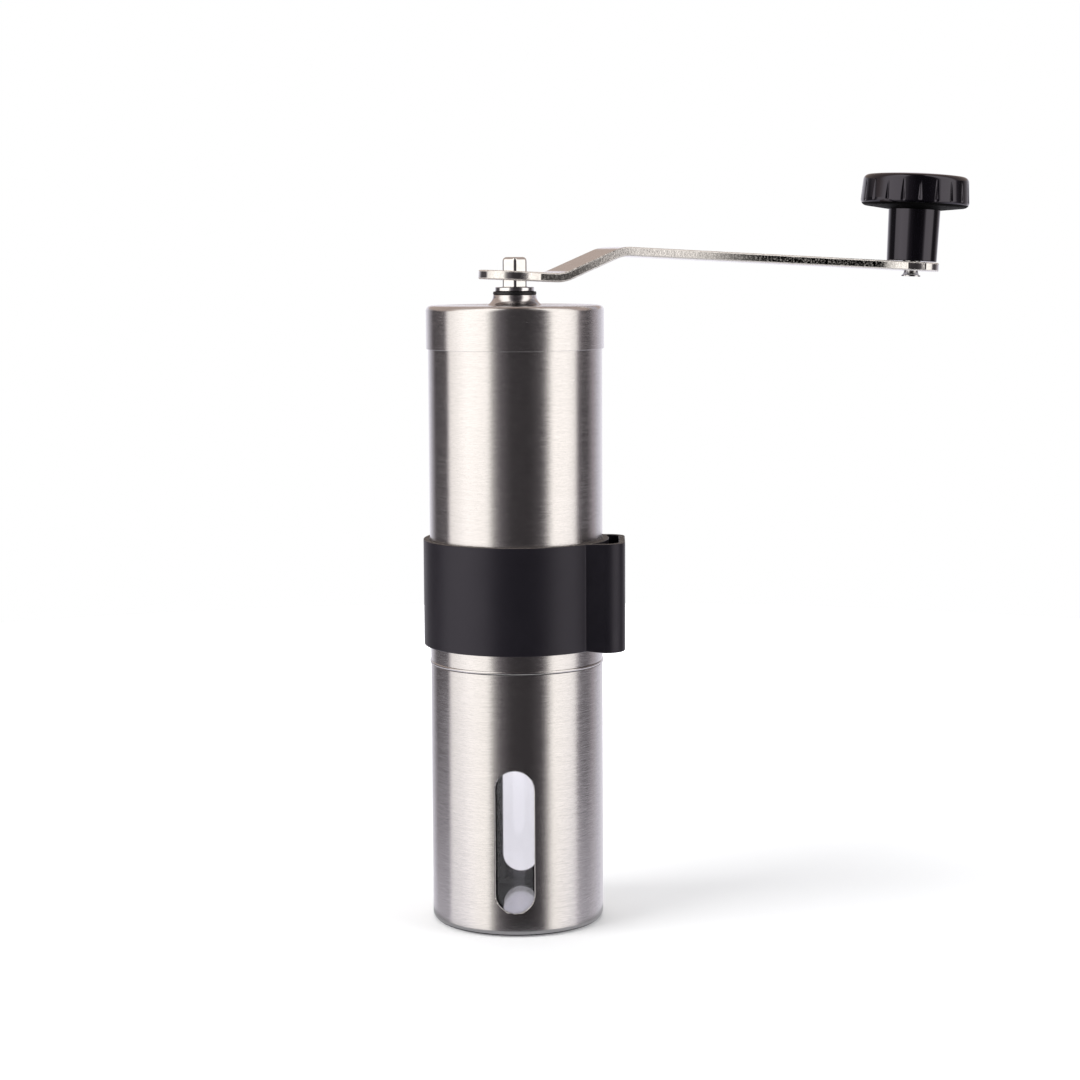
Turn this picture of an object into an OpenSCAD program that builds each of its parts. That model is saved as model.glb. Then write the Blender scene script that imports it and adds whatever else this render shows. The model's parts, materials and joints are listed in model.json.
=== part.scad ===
// Slim hand cranked coffee grinder: a steel hopper tube over a catch tube with two windows,
// ceramic conical burrs on a central shaft, a lift-off lid and crank, and a rubber crank band.
// Millimetres, +Z up, origin at the centre of the flat base. The windows face -Y and +Y.

/* [Tubes] */
// Outside diameter of the hopper tube and of the catch tube
tube_d = 47; // [46:0.5:52]
// Sheet thickness of both tubes
tube_wall = 0.6; // [0.4:0.1:0.8]
// Height of the catch tube
catch_h = 71.2; // [68:0.2:90]
// Length of the hopper tube
hopper_len = 95.35; // [80:0.05:130]
// Gap at the seam between the two tubes
seam_gap = 0.15; // [0.1:0.05:0.4]
// Outside corner radius of the catch tube's base
base_round = 1.8; // [1.2:0.1:2.4]
// Height of the rolled bead on the hopper tube's lower rim
bead_h = 0.8; // [0.6:0.1:1.4]
// How far that bead stands out from the tube
bead_out = 0.3; // [0.1:0.05:0.4]

/* [Windows] */
// Width of a window slot
slot_w = 10.4; // [8:0.2:14]
// Height of a window slot from end to end
slot_h = 38.7; // [28:0.1:44]
// Height of the slots' lower ends above the base
slot_z = 6.6; // [5:0.1:9]

/* [Window liner] */
// Wall thickness of the clear liner cup
liner_wall = 1; // [0.8:0.1:1.4]
// Floor thickness of the liner cup
liner_floor = 3.7; // [2:0.1:4]
// Outside corner radius of the liner's foot
liner_round = 1.6; // [1.4:0.1:2.5]
// How far the liner's rim lies below the spigot
liner_low = 0.3; // [0.2:0.1:1]

/* [Lid] */
// Sheet thickness of the lid's skirt
lid_wall = 0.4; // [0.3:0.05:0.6]
// Sheet thickness of the lid's top
lid_top_t = 0.6; // [0.4:0.1:1]
// Height of the lid from its lower edge to its flat top
lid_h = 11.6; // [8:0.2:16]
// Outside corner radius of the lid's top edge
lid_round = 1.4; // [1:0.1:2]
// Height of the neck on the lid
neck_h = 2.8; // [2:0.1:5]
// Diameter of the neck's top
neck_d = 11.7; // [11.2:0.1:13]
// How far the neck's foot flares out
neck_flare = 2.4; // [1:0.1:3]
// Thickness of the black washer on the neck
neck_washer_t = 0.9; // [0.8:0.1:2]
// Diameter of the bush's flange above the washer
flange_d = 10.6; // [10:0.1:11]
// Thickness of that flange
flange_t = 1.2; // [0.8:0.1:1.5]
// Wall thickness of the bush's sleeve
bush_wall = 0.65; // [0.6:0.05:0.7]
// Height of the swaged lip that holds the bush under the lid
swage_h = 1; // [0.8:0.1:1.5]
// How far the swaged lip stands out from the sleeve
swage_out = 1.4; // [1:0.1:2]

/* [Drive shaft] */
// Diameter of the shaft's upper journal
journal_d = 7.2; // [6.8:0.1:7.6]
// Length of the upper journal
journal_len = 17; // [14:0.5:22]
// Height of the crank's shoulder above the bush's flange
shoulder_up = 1.4; // [1:0.1:3]
// Height of the five-sided head above the shoulder
head_up = 6.6; // [5:0.1:9]
// Radius of the rounding on top of the head
head_round = 1.1; // [0.6:0.1:1.5]
// Diameter of the shaft inside the hopper
shaft_d = 6; // [5.6:0.1:6.4]
// Distance across the two flats that drive the burr
flats_w = 4.8; // [4.2:0.1:5.2]
// Height of the flats' upper end above the top of the burr core
flats_up = 1; // [0.5:0.1:3]
// How far the threaded end reaches below the adjuster knob
thread_tail = 1.5; // [1:0.1:3]

/* [Crank] */
// Distance from the shaft to the knob's pin along the arm
arm_len = 120; // [90:0.5:150]
// Thickness of the arm's steel bar
arm_t = 2.5; // [2:0.1:3]
// Diameter of the arm's round boss on the shaft
boss_d = 19.5; // [18:0.1:24]
// Width of the bar where it leaves the boss, carried back to the shaft
bar_w = 17.4; // [14:0.1:18]
// Diameter of the arm's round end under the knob
tip_d = 15.6; // [14:0.1:18]
// Distance from the shaft to the lower bend
bend_at = 11.2; // [9:0.1:14]
// Distance between the two bends along the arm
bend_run = 16.6; // [14:0.1:22]
// Height that the arm climbs between the bends
arm_rise = 7.9; // [4:0.1:9]
// Inside radius of both bends
bend_r = 9; // [5:0.5:12]
// Angle that the arm hangs down by in its loose socket
arm_droop = 2.9; // [0:0.1:3.5]
// Angle of the arm about the shaft, from +X toward +Y
arm_angle = 21.5; // [0:0.5:90]

/* [Knob] */
// Diameter of the stem where it meets the arm
stem_d = 14.2; // [12:0.1:15]
// Diameter of the stem under the knob's head
stem_top_d = 14.7; // [13:0.1:16]
// Height of the stem below the head
stem_h = 14.8; // [10:0.1:20]
// Diameter of the head at its lower rim
head_d = 30.7; // [26:0.1:36]
// How far the head's side leans in on each side by its top
head_lean = 0.4; // [0.2:0.1:1]
// How far the head's underside cones up from the stem to the rim
under_cone = 0.8; // [0.4:0.1:1.5]
// Height of the head's rim
rim_h = 8.8; // [6:0.1:10]
// Height of the crown above the rim
crown_h = 0.8; // [0.5:0.1:2]
// Radius of the head's rounded edges
rim_round = 1.6; // [0.8:0.1:1.8]
// Number of finger flutes round the head
flutes = 20; // [12:1:30]
// Depth of a flute at its lower end
flute_depth = 0.5; // [0.3:0.1:1]
// Width of a flute at its lower end
flute_w = 1.2; // [0.8:0.1:2.2]
// Angle of the first flute from the line of the arm
flute_turn = -5.5; // [-9:0.5:9]

/* [Knob pin] */
// Diameter of the pin's riveted shank in the arm
rivet_d = 4; // [3.6:0.1:4.4]
// Diameter of the pin's shoulder in the knob
pin_d = 5.2; // [4.8:0.1:5.8]
// Diameter of the pin's head
pin_head_d = 8.4; // [7.6:0.1:9]
// Thickness of the pin's head
pin_head_t = 1.4; // [1:0.1:2]
// Diameter of the flared end under the arm
flare_d = 5.5; // [5:0.1:7]
// Height of the flared end below the arm
flare_h = 1.6; // [1:0.1:2.5]

/* [Burrs] */
// Outside diameter of the ring burr
ring_d = 36; // [35:0.5:38]
// Height of the ring burr
ring_h = 16; // [14:0.5:20]
// Diameter inside the ring burr at its lower end, at the roots of its teeth
ring_in_d = 28.4; // [28:0.1:29]
// Diameter inside the ring burr at its mouth, at the roots of its teeth
mouth_d = 25.6; // [24:0.1:26.5]
// Diameter of the conical burr at its lower end
cone_d = 27.2; // [26:0.1:27.4]
// Diameter of the conical burr at its top
cone_top_d = 13; // [12.6:0.1:15]
// Height of the conical burr
cone_h = 17.5; // [16:0.5:22]
// How far the conical burr hangs below the ring burr at rest
cone_drop = 0.5; // [0.3:0.1:0.8]
// Depth of the burr teeth at the burrs' lower ends
tooth_depth = 0.35; // [0.2:0.05:0.4]
// Number of teeth on the conical burr
cone_teeth = 24; // [16:1:30]
// Number of teeth in the ring burr
ring_teeth = 36; // [24:1:40]
// Angle that the conical burr's teeth wind through
cone_twist = 60; // [30:5:80]
// Angle that the ring burr's teeth wind through
ring_twist = 30; // [15:5:45]

/* [Burr core] */
// Diameter of the core's tube inside the conical burr
core_d = 10; // [9.6:0.1:10.6]
// Diameter of the core's flange under the conical burr
core_flange_d = 24.8; // [20:0.1:25]
// Thickness of that flange
core_flange_t = 2.2; // [1.5:0.1:3]
// Height of the core above the conical burr
core_up = 1; // [0.5:0.1:2]
// Height of the core's hub below its flange
core_hub_h = 2.5; // [2:0.1:4]
// Diameter of that hub
core_hub_d = 14; // [12:0.5:16]

/* [Adjuster] */
// Diameter of the grind adjuster's knob
adj_d = 23; // [20:0.5:24]
// Height of the grind adjuster's knob
adj_h = 7; // [6.6:0.1:9]
// Number of clicks in a turn
clicks = 18; // [12:1:24]
// Height of the click bumps
click_h = 0.2; // [0.1:0.05:0.25]
// Distance across the flats of the adjuster's nut
nut_af = 10; // [9.5:0.1:10.5]
// Height of the nut
nut_h = 4.5; // [4:0.1:5]
// Thickness of the knob's roof above the nut
adj_roof = 1.5; // [1.2:0.1:1.8]

/* [Burr housing] */
// Length of the spigot that holds the catch tube
spigot_len = 9.35; // [8.5:0.05:12]
// Height of the housing above the seam
housing_up = 16.65; // [14:0.05:24]
// Depth of the recess for the retainer
recess_h = 3.5; // [3:0.1:4]
// Wall thickness of the spigot round that recess
recess_wall = 0.8; // [0.6:0.1:1.2]
// Thickness of the burr retainer
retainer_t = 2.4; // [2:0.1:2.8]
// Width of the housing's rim at the top of its funnel
funnel_rim = 1; // [0.8:0.1:1.5]
// Thread diameter of the retainer's screws
screw_d = 2.4; // [2:0.1:2.6]
// Diameter of their heads
screw_head_d = 3.8; // [3.2:0.1:4]
// Height of their heads
screw_head_h = 1; // [0.8:0.1:1.1]
// Length of their threads below the head
screw_len = 7; // [5:0.5:9]
// Wall left between a screw's hole and the ring burr's seat
screw_wall = 0.4; // [0.3:0.1:0.6]
// Number of those screws
screws = 3; // [3:1:6]
// Thickness of the seal ring on the spigot
seal_t = 1.5; // [1.2:0.1:1.6]

/* [Bearing bracket] */
// Height of the bracket's ring
bracket_h = 10; // [8:0.1:14]
// Wall thickness of that ring
bracket_wall = 1.2; // [0.8:0.1:1.6]
// Width of an arm
web_w = 3.2; // [2.4:0.1:4.5]
// Height of an arm
web_h = 6; // [4:0.1:7]
// Number of arms
webs = 3; // [3:1:4]
// Diameter of the hub
hub_d = 13; // [12:0.1:15]
// Height of the hub
hub_h = 8.5; // [7:0.1:12]
// Wall thickness of the bush in the hub
hub_bush_wall = 1.3; // [1:0.1:1.6]
// Thickness of that bush's flange
hub_flange_t = 0.6; // [0.5:0.1:1]
// Diameter of that bush's flange
hub_flange_d = 11.4; // [10:0.1:11.8]
// Thickness of the thrust washer
thrust_t = 0.6; // [0.5:0.1:1]
// Diameter of the thrust washer
thrust_d = 12; // [10:0.1:12.5]
// Thickness of the shaft clip
clip_t = 0.7; // [0.5:0.1:1]
// Outside diameter of the shaft clip
clip_d = 9.6; // [8.6:0.1:11]
// Depth of the clip's groove in the shaft
groove_depth = 0.6; // [0.4:0.1:0.8]

/* [Burr spring] */
// Length of the spring as fitted
spring_len = 8; // [7:0.1:12]
// Thickness of the spring's wire
wire_d = 0.9; // [0.6:0.1:1]
// Mean diameter of the spring's coils
coil_d = 8.8; // [8.2:0.1:9]
// Number of coils
coils = 4; // [3:1:5]

/* [Crank band] */
// Height of the band
band_h = 28.8; // [20:0.2:40]
// Height of the band's lower edge above the seam
band_up = 5.1; // [4:0.1:30]
// Thickness of the band
band_t = 1.7; // [1.4:0.1:2]
// Distance from the shaft to the outside of the crank loop
loop_reach = 29.6; // [29:0.1:33]
// Radius of the loop's front corner
front_corner_r = 7; // [5:0.1:8]
// How far that corner's centre lies in front of the shaft
front_corner_y = 10.6; // [8:0.1:13]
// Radius of the loop's rear corner
rear_corner_r = 4; // [3.6:0.1:5]
// How far that corner's centre lies behind the shaft
rear_corner_y = 4.2; // [0:0.1:6]

/* [Clearances] */
// Gap between the lid's skirt and the hopper tube
lid_gap = 0.1; // [0.06:0.01:0.2]
// Gap round the plastic parts held in the tubes
insert_gap = 0.05; // [0.02:0.01:0.08]
// Gap between the liner and the catch tube
liner_gap = 0.1; // [0.05:0.01:0.2]
// Gap between the spigot and the catch tube
spigot_gap = 0.2; // [0.15:0.01:0.3]
// Gap round a turning shaft or pin
run_gap = 0.05; // [0.03:0.01:0.08]
// Gap round the five-sided head in the crank's socket
socket_gap = 0.12; // [0.1:0.01:0.2]
// Gap between faces that turn or lift off each other
face_gap = 0.1; // [0.05:0.01:0.15]
// Gap between the burr core and the adjuster
click_gap = 0.3; // [0.3:0.05:0.4]
// Gap between the band and the hopper tube
band_gap = 0.05; // [0.03:0.01:0.1]
// Gap round a piece fixed in its seat
seat_gap = 0.05; // [0.03:0.01:0.08]

/* [Hidden] */
$fn = 96;

// How far every cut runs past the faces it opens
cut = 1;

// Tubes
tube_r = tube_d / 2;
bore_r = tube_r - tube_wall;
hopper_z = catch_h + seam_gap;
hopper_top = hopper_z + hopper_len;

// Lid, neck and shaft head, from the hopper tube's rim upward: the rim meets the lid's fillet
lid_fillet = lid_round - lid_wall;
lid_under = hopper_top + lid_fillet;
lid_top = lid_under + lid_top_t;
lid_z = lid_top - lid_h;
lid_bore_r = tube_r + lid_gap;
lid_r = lid_bore_r + lid_wall;
neck_top = lid_top + neck_h;
flange_z = neck_top + neck_washer_t;
shoulder_z = flange_z + flange_t + shoulder_up;
journal_r = journal_d / 2;
bush_bore_r = journal_r + run_gap;
bush_r = bush_bore_r + bush_wall;
shaft_r = shaft_d / 2;
head_r = journal_r - seat_gap;

// Crank: the middle of the bar at the shaft, clear of the shoulder however far the bar hangs
arm_z = shoulder_z + face_gap + arm_t / 2 + journal_r * sin(arm_droop);
bend_angle = atan(arm_rise / bend_run);
bend_steps = 6;
end_steps = 40;
head_turn = arm_angle + 180 / 5;

// Burr stack, from the spigot upward
spigot_z = hopper_z - spigot_len;
spigot_r = bore_r - spigot_gap;
insert_r = bore_r - insert_gap;
housing_top = hopper_z + housing_up;
ring_z = spigot_z + recess_h;
ring_r = ring_d / 2;
ring_top = ring_z + ring_h;
recess_r = spigot_r - recess_wall;
cone_z = ring_z - cone_drop;
core_top = cone_z + cone_h + core_up;
core_bottom = cone_z - core_flange_t - core_hub_h;
adj_top = core_bottom - click_gap;
adj_z = adj_top - adj_h;
shaft_z = adj_z - thread_tail;
screw_pcr = ring_r + screw_wall + screw_d / 2 + 2 * seat_gap;
tooth_steps = 10;

// Bracket, bush, washer and clip, from the spring's upper end
hub_z = core_top + spring_len;
hub_top = hub_z + hub_h;
thrust_z = hub_top + hub_flange_t + seat_gap;
clip_z = thrust_z + thrust_t + seat_gap;
hub_bore_r = shaft_r + run_gap;
hub_bush_r = hub_bore_r + hub_bush_wall;

// Spring: a tube of six sides along a helix, as rings of points, with the least gap between its coils
spring_steps = 8;
spring_sides = 6;
spring_rings = coils * spring_steps;
spring_low = core_top + wire_d / 2 + seat_gap;
spring_climb = spring_len - wire_d - 2 * seat_gap;
spring_points = [for (i = [0 : spring_rings], k = [0 : spring_sides - 1])
    let (a = i * 360 / spring_steps, b = k * 360 / spring_sides,
         out = coil_d / 2 + wire_d / 2 * cos(b))
    [out * cos(a), out * sin(a), spring_low + spring_climb * i / spring_rings + wire_d / 2 * sin(b)]];
spring_skin = [for (i = [0 : spring_rings - 1], k = [0 : spring_sides - 1], half = [0, 1])
    let (n = (k + 1) % spring_sides, a = i * spring_sides, b = a + spring_sides)
    half == 0 ? [a + k, b + n, b + k] : [a + k, a + n, b + n]];
spring_ends = [for (k = [1 : spring_sides - 2], last = [0, 1])
    last == 0 ? [0, k + 1, k] : let (e = spring_rings * spring_sides) [e, e + k, e + k + 1]];
echo(spring_gap = spring_climb / coils - wire_d);

// Liner cup, between the catch tube's floor and the spigot
liner_r = bore_r - liner_gap;
liner_top = spigot_z - liner_low;

// Band: the ring's outside, and the circles that its loop is drawn round
band_z = hopper_z + band_up;
band_bore_r = tube_r + band_gap;
band_r = band_bore_r + band_t;
front_corner = [loop_reach - front_corner_r, -front_corner_y];
rear_corner = [loop_reach - rear_corner_r, rear_corner_y];
front_leave = atan2(front_corner.y, front_corner.x) - acos((band_r - front_corner_r) / norm(front_corner));

// Half of a cup's section, with its lower outside corner rounded
module cup_half(r, h, round_r) {
    square([r - round_r, h]);
    translate([0, round_r])
        square([r, h - round_r]);
    translate([r - round_r, round_r])
        circle(round_r);
}

// A plain ring standing on z = 0
module ring(r_out, r_in, h) {
    difference() {
        cylinder(r = r_out, h = h);
        translate([0, 0, -cut])
            cylinder(r = r_in, h = h + 2 * cut);
    }
}

// A slot with round ends, standing up in X and Z and running along Y from y = 0
module slot(w, h, deep) {
    end = w / 2;
    for (z = [end, h - end])
        translate([0, 0, z])
            rotate([-90, 0, 0])
                cylinder(r = end, h = deep);
    translate([-end, 0, end])
        cube([w, deep, h - w]);
}

// Steel tube that holds the beans, with a rolled bead round its lower rim
module hopper_tube() {
    color("silver")
        translate([0, 0, hopper_z])
            rotate_extrude()
                union() {
                    translate([bore_r, 0])
                        square([tube_wall, hopper_len]);
                    translate([tube_r, bead_h / 2])
                        scale([2 * bead_out / bead_h, 1])
                            circle(bead_h / 2);
                }
}

// Deep-drawn steel cup that catches the grounds, with a window slot in front and behind
module catch_tube() {
    color("silver")
        difference() {
            rotate_extrude()
                difference() {
                    cup_half(tube_r, catch_h, base_round);
                    translate([0, tube_wall])
                        cup_half(bore_r, catch_h, base_round - tube_wall);
                }
            for (side = [0, 180])
                rotate(side)
                    translate([0, bore_r / 2, slot_z])
                        slot(slot_w, slot_h, bore_r);
        }
}

// Clear cup inside the catch tube, which closes its windows
module window_liner() {
    color([0.9, 0.93, 0.96, 0.35])
        translate([0, 0, tube_wall])
            rotate_extrude()
                difference() {
                    cup_half(liner_r, liner_top - tube_wall, liner_round);
                    translate([0, liner_floor])
                        cup_half(liner_r - liner_wall, liner_top, liner_round - liner_wall);
                }
}

// Steel cap with its turned neck, which slips over the hopper tube
module lid_cap() {
    neck_r = neck_d / 2;
    foot_r = neck_r + neck_flare;
    color("silver")
        difference() {
            union() {
                translate([0, 0, lid_top])
                    mirror([0, 0, 1])
                        rotate_extrude()
                            difference() {
                                cup_half(lid_r, lid_h, lid_round);
                                translate([0, lid_top_t])
                                    cup_half(lid_bore_r, lid_h, lid_fillet);
                            }
                translate([0, 0, lid_top - lid_top_t / 2])
                    rotate_extrude()
                        difference() {
                            square([foot_r, neck_h + lid_top_t / 2]);
                            translate([foot_r, lid_top_t / 2 + neck_h])
                                scale([neck_flare / neck_h, 1])
                                    circle(neck_h);
                        }
            }
            translate([0, 0, lid_z - cut])
                cylinder(r = bush_r + seat_gap, h = neck_top - lid_z + 2 * cut);
        }
}

// Black washer between the neck and the bush's flange
module neck_washer() {
    color("black")
        translate([0, 0, neck_top])
            ring(neck_d / 2, bush_r + seat_gap, neck_washer_t);
}

// Chromed bush that guides the shaft through the lid, swaged over under the lid
module lid_bush() {
    color("gainsboro")
        difference() {
            union() {
                translate([0, 0, flange_z])
                    cylinder(r = flange_d / 2, h = flange_t);
                translate([0, 0, lid_under - swage_h])
                    cylinder(r = bush_r, h = flange_z - lid_under + swage_h + flange_t / 2);
                translate([0, 0, lid_under - swage_h])
                    cylinder(r = bush_r + swage_out, h = swage_h);
            }
            translate([0, 0, lid_z])
                cylinder(r = bush_bore_r, h = shoulder_z - lid_z);
        }
}

// Steel shaft: threaded and flatted below, round in the middle, five-sided at the top
module drive_shaft() {
    flats_top = core_top + flats_up;
    journal_z = shoulder_z - journal_len;
    color("lightgray") {
        difference() {
            union() {
                translate([0, 0, shaft_z])
                    cylinder(r = shaft_r, h = journal_z - shaft_z + journal_len / 2);
                translate([0, 0, journal_z])
                    cylinder(r = journal_r, h = journal_len);
                translate([0, 0, shoulder_z - journal_len / 2])
                    shaft_head();
            }
            for (side = [0, 180])
                rotate(side)
                    translate([-shaft_d, flats_w / 2, shaft_z - cut])
                        cube([2 * shaft_d, shaft_d, flats_top - shaft_z + cut]);
            translate([0, 0, clip_z - seat_gap])
                ring(shaft_d, shaft_r - groove_depth, clip_t + 2 * seat_gap);
        }
    }
}

// Five-sided head, reaching down inside the journal
module shaft_head() {
    tall = head_up + journal_len / 2;
    intersection() {
        rotate(head_turn)
            cylinder(r = head_r, h = tall, $fn = 5);
        translate([0, 0, tall])
            mirror([0, 0, 1])
                rotate_extrude()
                    cup_half(journal_r, tall, head_round);
    }
}

// Places its children at the arm's own frame: X along the arm, origin in the bar at the shaft
module on_arm() {
    translate([0, 0, arm_z])
        rotate([0, 0, arm_angle])
            rotate([0, arm_droop, 0])
                children();
}

// Points along an arc about a centre
function arc(centre, r, from, to, steps) =
    [for (i = [0 : steps]) let (a = from + (to - from) * i / steps) centre + r * [cos(a), sin(a)]];

// Side view of the bar, bent up and then level again about rounded corners
module bar_side() {
    mid_r = bend_r + arm_t / 2;
    trim = mid_r * tan(bend_angle / 2);
    low = [bend_at - trim, mid_r];
    high = [bend_at + bend_run + trim, arm_rise - mid_r];
    tail = [-boss_d, arm_t / 2];
    tip = [arm_len + boss_d, arm_rise + arm_t / 2];
    top_side = concat([tail], arc(low, bend_r, -90, bend_angle - 90, bend_steps),
                      arc(high, bend_r + arm_t, 90 + bend_angle, 90, bend_steps), [tip]);
    under_side = concat([tip - [0, arm_t]], arc(high, bend_r, 90, 90 + bend_angle, bend_steps),
                        arc(low, bend_r + arm_t, bend_angle - 90, -90, bend_steps), [tail - [0, arm_t]]);
    polygon(concat(top_side, under_side));
}

// Plan of the bar: a round boss, and a bar whose straight sides taper to its round tip
module bar_plan() {
    bar_r = bar_w / 2;
    tip_r = tip_d / 2;
    touch = acos((bar_r - tip_r) / arm_len);
    circle(boss_d / 2);
    polygon(concat(arc([0, 0], bar_r, touch, 360 - touch, end_steps),
                   arc([arm_len, 0], tip_r, -touch, touch, end_steps)));
}

// Crank arm: a stamped and bent steel bar with a five-sided socket
module crank_arm() {
    color("gainsboro")
        difference() {
            on_arm()
                difference() {
                    intersection() {
                        translate([0, boss_d, 0])
                            rotate([90, 0, 0])
                                linear_extrude(2 * boss_d)
                                    bar_side();
                        translate([0, 0, -boss_d])
                            linear_extrude(2 * boss_d)
                                bar_plan();
                    }
                    translate([arm_len, 0, 0])
                        cylinder(r = rivet_d / 2 + seat_gap, h = 2 * boss_d, center = true);
                }
            translate([0, 0, shoulder_z - arm_t])
                rotate(head_turn)
                    cylinder(r = head_r + socket_gap, h = 3 * arm_t + head_up, $fn = 5);
        }
}

// Places its children on top of the arm's end, square to the arm
module on_tip() {
    on_arm()
        translate([arm_len, 0, arm_rise + arm_t / 2])
            children();
}

// Shouldered steel pin that the knob turns on, riveted over under the arm
module knob_pin() {
    shank_r = rivet_d / 2;
    flare_r = flare_d / 2;
    color("lightgray")
        on_tip() {
            translate([0, 0, face_gap])
                cylinder(r = pin_d / 2, h = stem_h);
            translate([0, 0, stem_h])
                cylinder(r = pin_head_d / 2, h = pin_head_t);
            difference() {
                union() {
                    translate([0, 0, -arm_t - flare_h])
                        cylinder(r = shank_r, h = arm_t + flare_h + pin_d / 2);
                    translate([0, 0, -arm_t - flare_h])
                        rotate_extrude()
                            difference() {
                                square([flare_r, flare_h - face_gap]);
                                translate([flare_r, flare_h])
                                    scale([(flare_r - shank_r) / (flare_h - flare_h / 5), 1])
                                        circle(flare_h - flare_h / 5);
                            }
                }
                translate([0, 0, -arm_t - flare_h - cut])
                    cylinder(r = shank_r / 2, h = cut + flare_h);
            }
        }
}

// Knob stem: a moulded sleeve that turns on the pin
module knob_stem() {
    bore = pin_d / 2 + run_gap;
    spot = pin_head_d / 2 + seat_gap;
    low_r = stem_d / 2;
    top_r = stem_top_d / 2;
    color("black")
        on_tip()
            difference() {
                translate([0, 0, face_gap + face_gap])
                    cylinder(r1 = low_r, r2 = top_r, h = stem_h + pin_head_t);
                translate([0, 0, -cut])
                    cylinder(r = bore, h = stem_h + pin_head_t);
                translate([0, 0, stem_h - face_gap])
                    cylinder(r = spot, h = 2 * pin_head_t + cut);
            }
}

// Knob head: a moulded cap pressed over the stem, crowned on top and fluted round its rim
module knob_head() {
    low_z = stem_h + under_cone;
    rim_top = low_z + rim_h;
    rim_r = head_d / 2;
    top_r = rim_r - head_lean;
    seat_top = stem_h + 2 * pin_head_t;
    crown_r = ((top_r - rim_round) ^ 2 + crown_h ^ 2) / (2 * crown_h);
    color("black")
        on_tip()
            difference() {
                rotate_extrude()
                    union() {
                        polygon([[0, stem_h], [stem_top_d / 2, stem_h], [rim_r - rim_round, low_z],
                                 [rim_r, low_z + rim_round], [top_r, rim_top - rim_round],
                                 [top_r - rim_round, rim_top], [0, rim_top]]);
                        translate([rim_r - rim_round, low_z + rim_round])
                            circle(rim_round);
                        translate([top_r - rim_round, rim_top - rim_round])
                            circle(rim_round);
                        intersection() {
                            translate([0, rim_top + crown_h - crown_r])
                                circle(crown_r);
                            translate([0, rim_top - crown_h])
                                square([top_r - rim_round, 2 * crown_h]);
                        }
                    }
                translate([0, 0, stem_h - cut])
                    cylinder(r = stem_top_d / 2 + seat_gap, h = seat_top - stem_h + cut);
                for (i = [0 : flutes - 1])
                    rotate(flute_turn + i * 360 / flutes)
                        translate([rim_r, 0, low_z + rim_round])
                            flute();
            }
}

// V-shaped cut that is deep and wide at its lower end and runs out at its upper end
module flute() {
    tall = rim_h - 2 * rim_round;
    lean = atan((flute_depth + head_lean) / tall);
    rotate([0, -lean, 0])
        linear_extrude(tall)
            polygon([[-flute_depth, 0], [flute_depth, -flute_w], [flute_depth, flute_w]]);
}

// Outline of the crank loop, drawn in by a wall's thickness where inset is one
module loop_outline(inset) {
    hull() {
        translate((band_r - front_corner_r) * [cos(front_leave), sin(front_leave)])
            circle(front_corner_r - inset, $fn = 32);
        translate([0, rear_corner_y])
            circle(rear_corner_r - inset, $fn = 32);
        translate(front_corner)
            circle(front_corner_r - inset, $fn = 32);
        translate(rear_corner)
            circle(rear_corner_r - inset, $fn = 32);
    }
}

// Rubber band round the hopper, with a loop at its side that holds the crank when packed away
module crank_band() {
    color([0.13, 0.13, 0.14])
        translate([0, 0, band_z])
            difference() {
                union() {
                    cylinder(r = band_r, h = band_h);
                    linear_extrude(band_h)
                        loop_outline(0);
                }
                translate([0, 0, -cut])
                    cylinder(r = band_bore_r, h = band_h + 2 * cut);
                translate([0, 0, -cut])
                    linear_extrude(band_h + 2 * cut)
                        difference() {
                            loop_outline(band_t);
                            circle(band_r);
                        }
            }
}

// Moulded bracket in the hopper tube, whose arms carry the shaft's bush
module bearing_bracket() {
    ring_bore = insert_r - bracket_wall;
    color([0.2, 0.2, 0.21])
        difference() {
            union() {
                translate([0, 0, housing_top])
                    ring(insert_r, ring_bore, bracket_h);
                translate([0, 0, hub_z])
                    cylinder(r = hub_d / 2, h = hub_h);
                for (i = [0 : webs - 1])
                    rotate(90 + i * 360 / webs)
                        translate([0, -web_w / 2, hub_z])
                            cube([ring_bore + bracket_wall / 2, web_w, web_h]);
            }
            translate([0, 0, hub_z - cut])
                cylinder(r = hub_bush_r + seat_gap, h = hub_h + 2 * cut);
        }
}

// Bronze bush in the bracket's hub, with a flange that the washer turns on
module shaft_bush() {
    color("peru")
        difference() {
            union() {
                translate([0, 0, hub_z])
                    cylinder(r = hub_bush_r, h = hub_h + hub_flange_t);
                translate([0, 0, hub_top])
                    cylinder(r = hub_flange_d / 2, h = hub_flange_t);
            }
            translate([0, 0, hub_z - cut])
                cylinder(r = hub_bore_r, h = hub_h + hub_flange_t + 2 * cut);
        }
}

// Steel washer between the bush and the clip
module thrust_washer() {
    color("silver")
        translate([0, 0, thrust_z])
            ring(thrust_d / 2, hub_bore_r, thrust_t);
}

// Open clip in the shaft's groove, which keeps the shaft from dropping out
module shaft_clip() {
    clip_in = shaft_r - groove_depth + seat_gap;
    color("dimgray")
        translate([0, 0, clip_z])
            difference() {
                ring(clip_d / 2, clip_in, clip_t);
                translate([0, -clip_in * 3 / 4, -cut])
                    cube([clip_d, clip_in * 3 / 2, clip_t + 2 * cut]);
            }
}

// Steel spring that presses the conical burr down on its adjuster
module burr_spring() {
    color("silver")
        polyhedron(points = spring_points, faces = concat(spring_skin, spring_ends));
}

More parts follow.
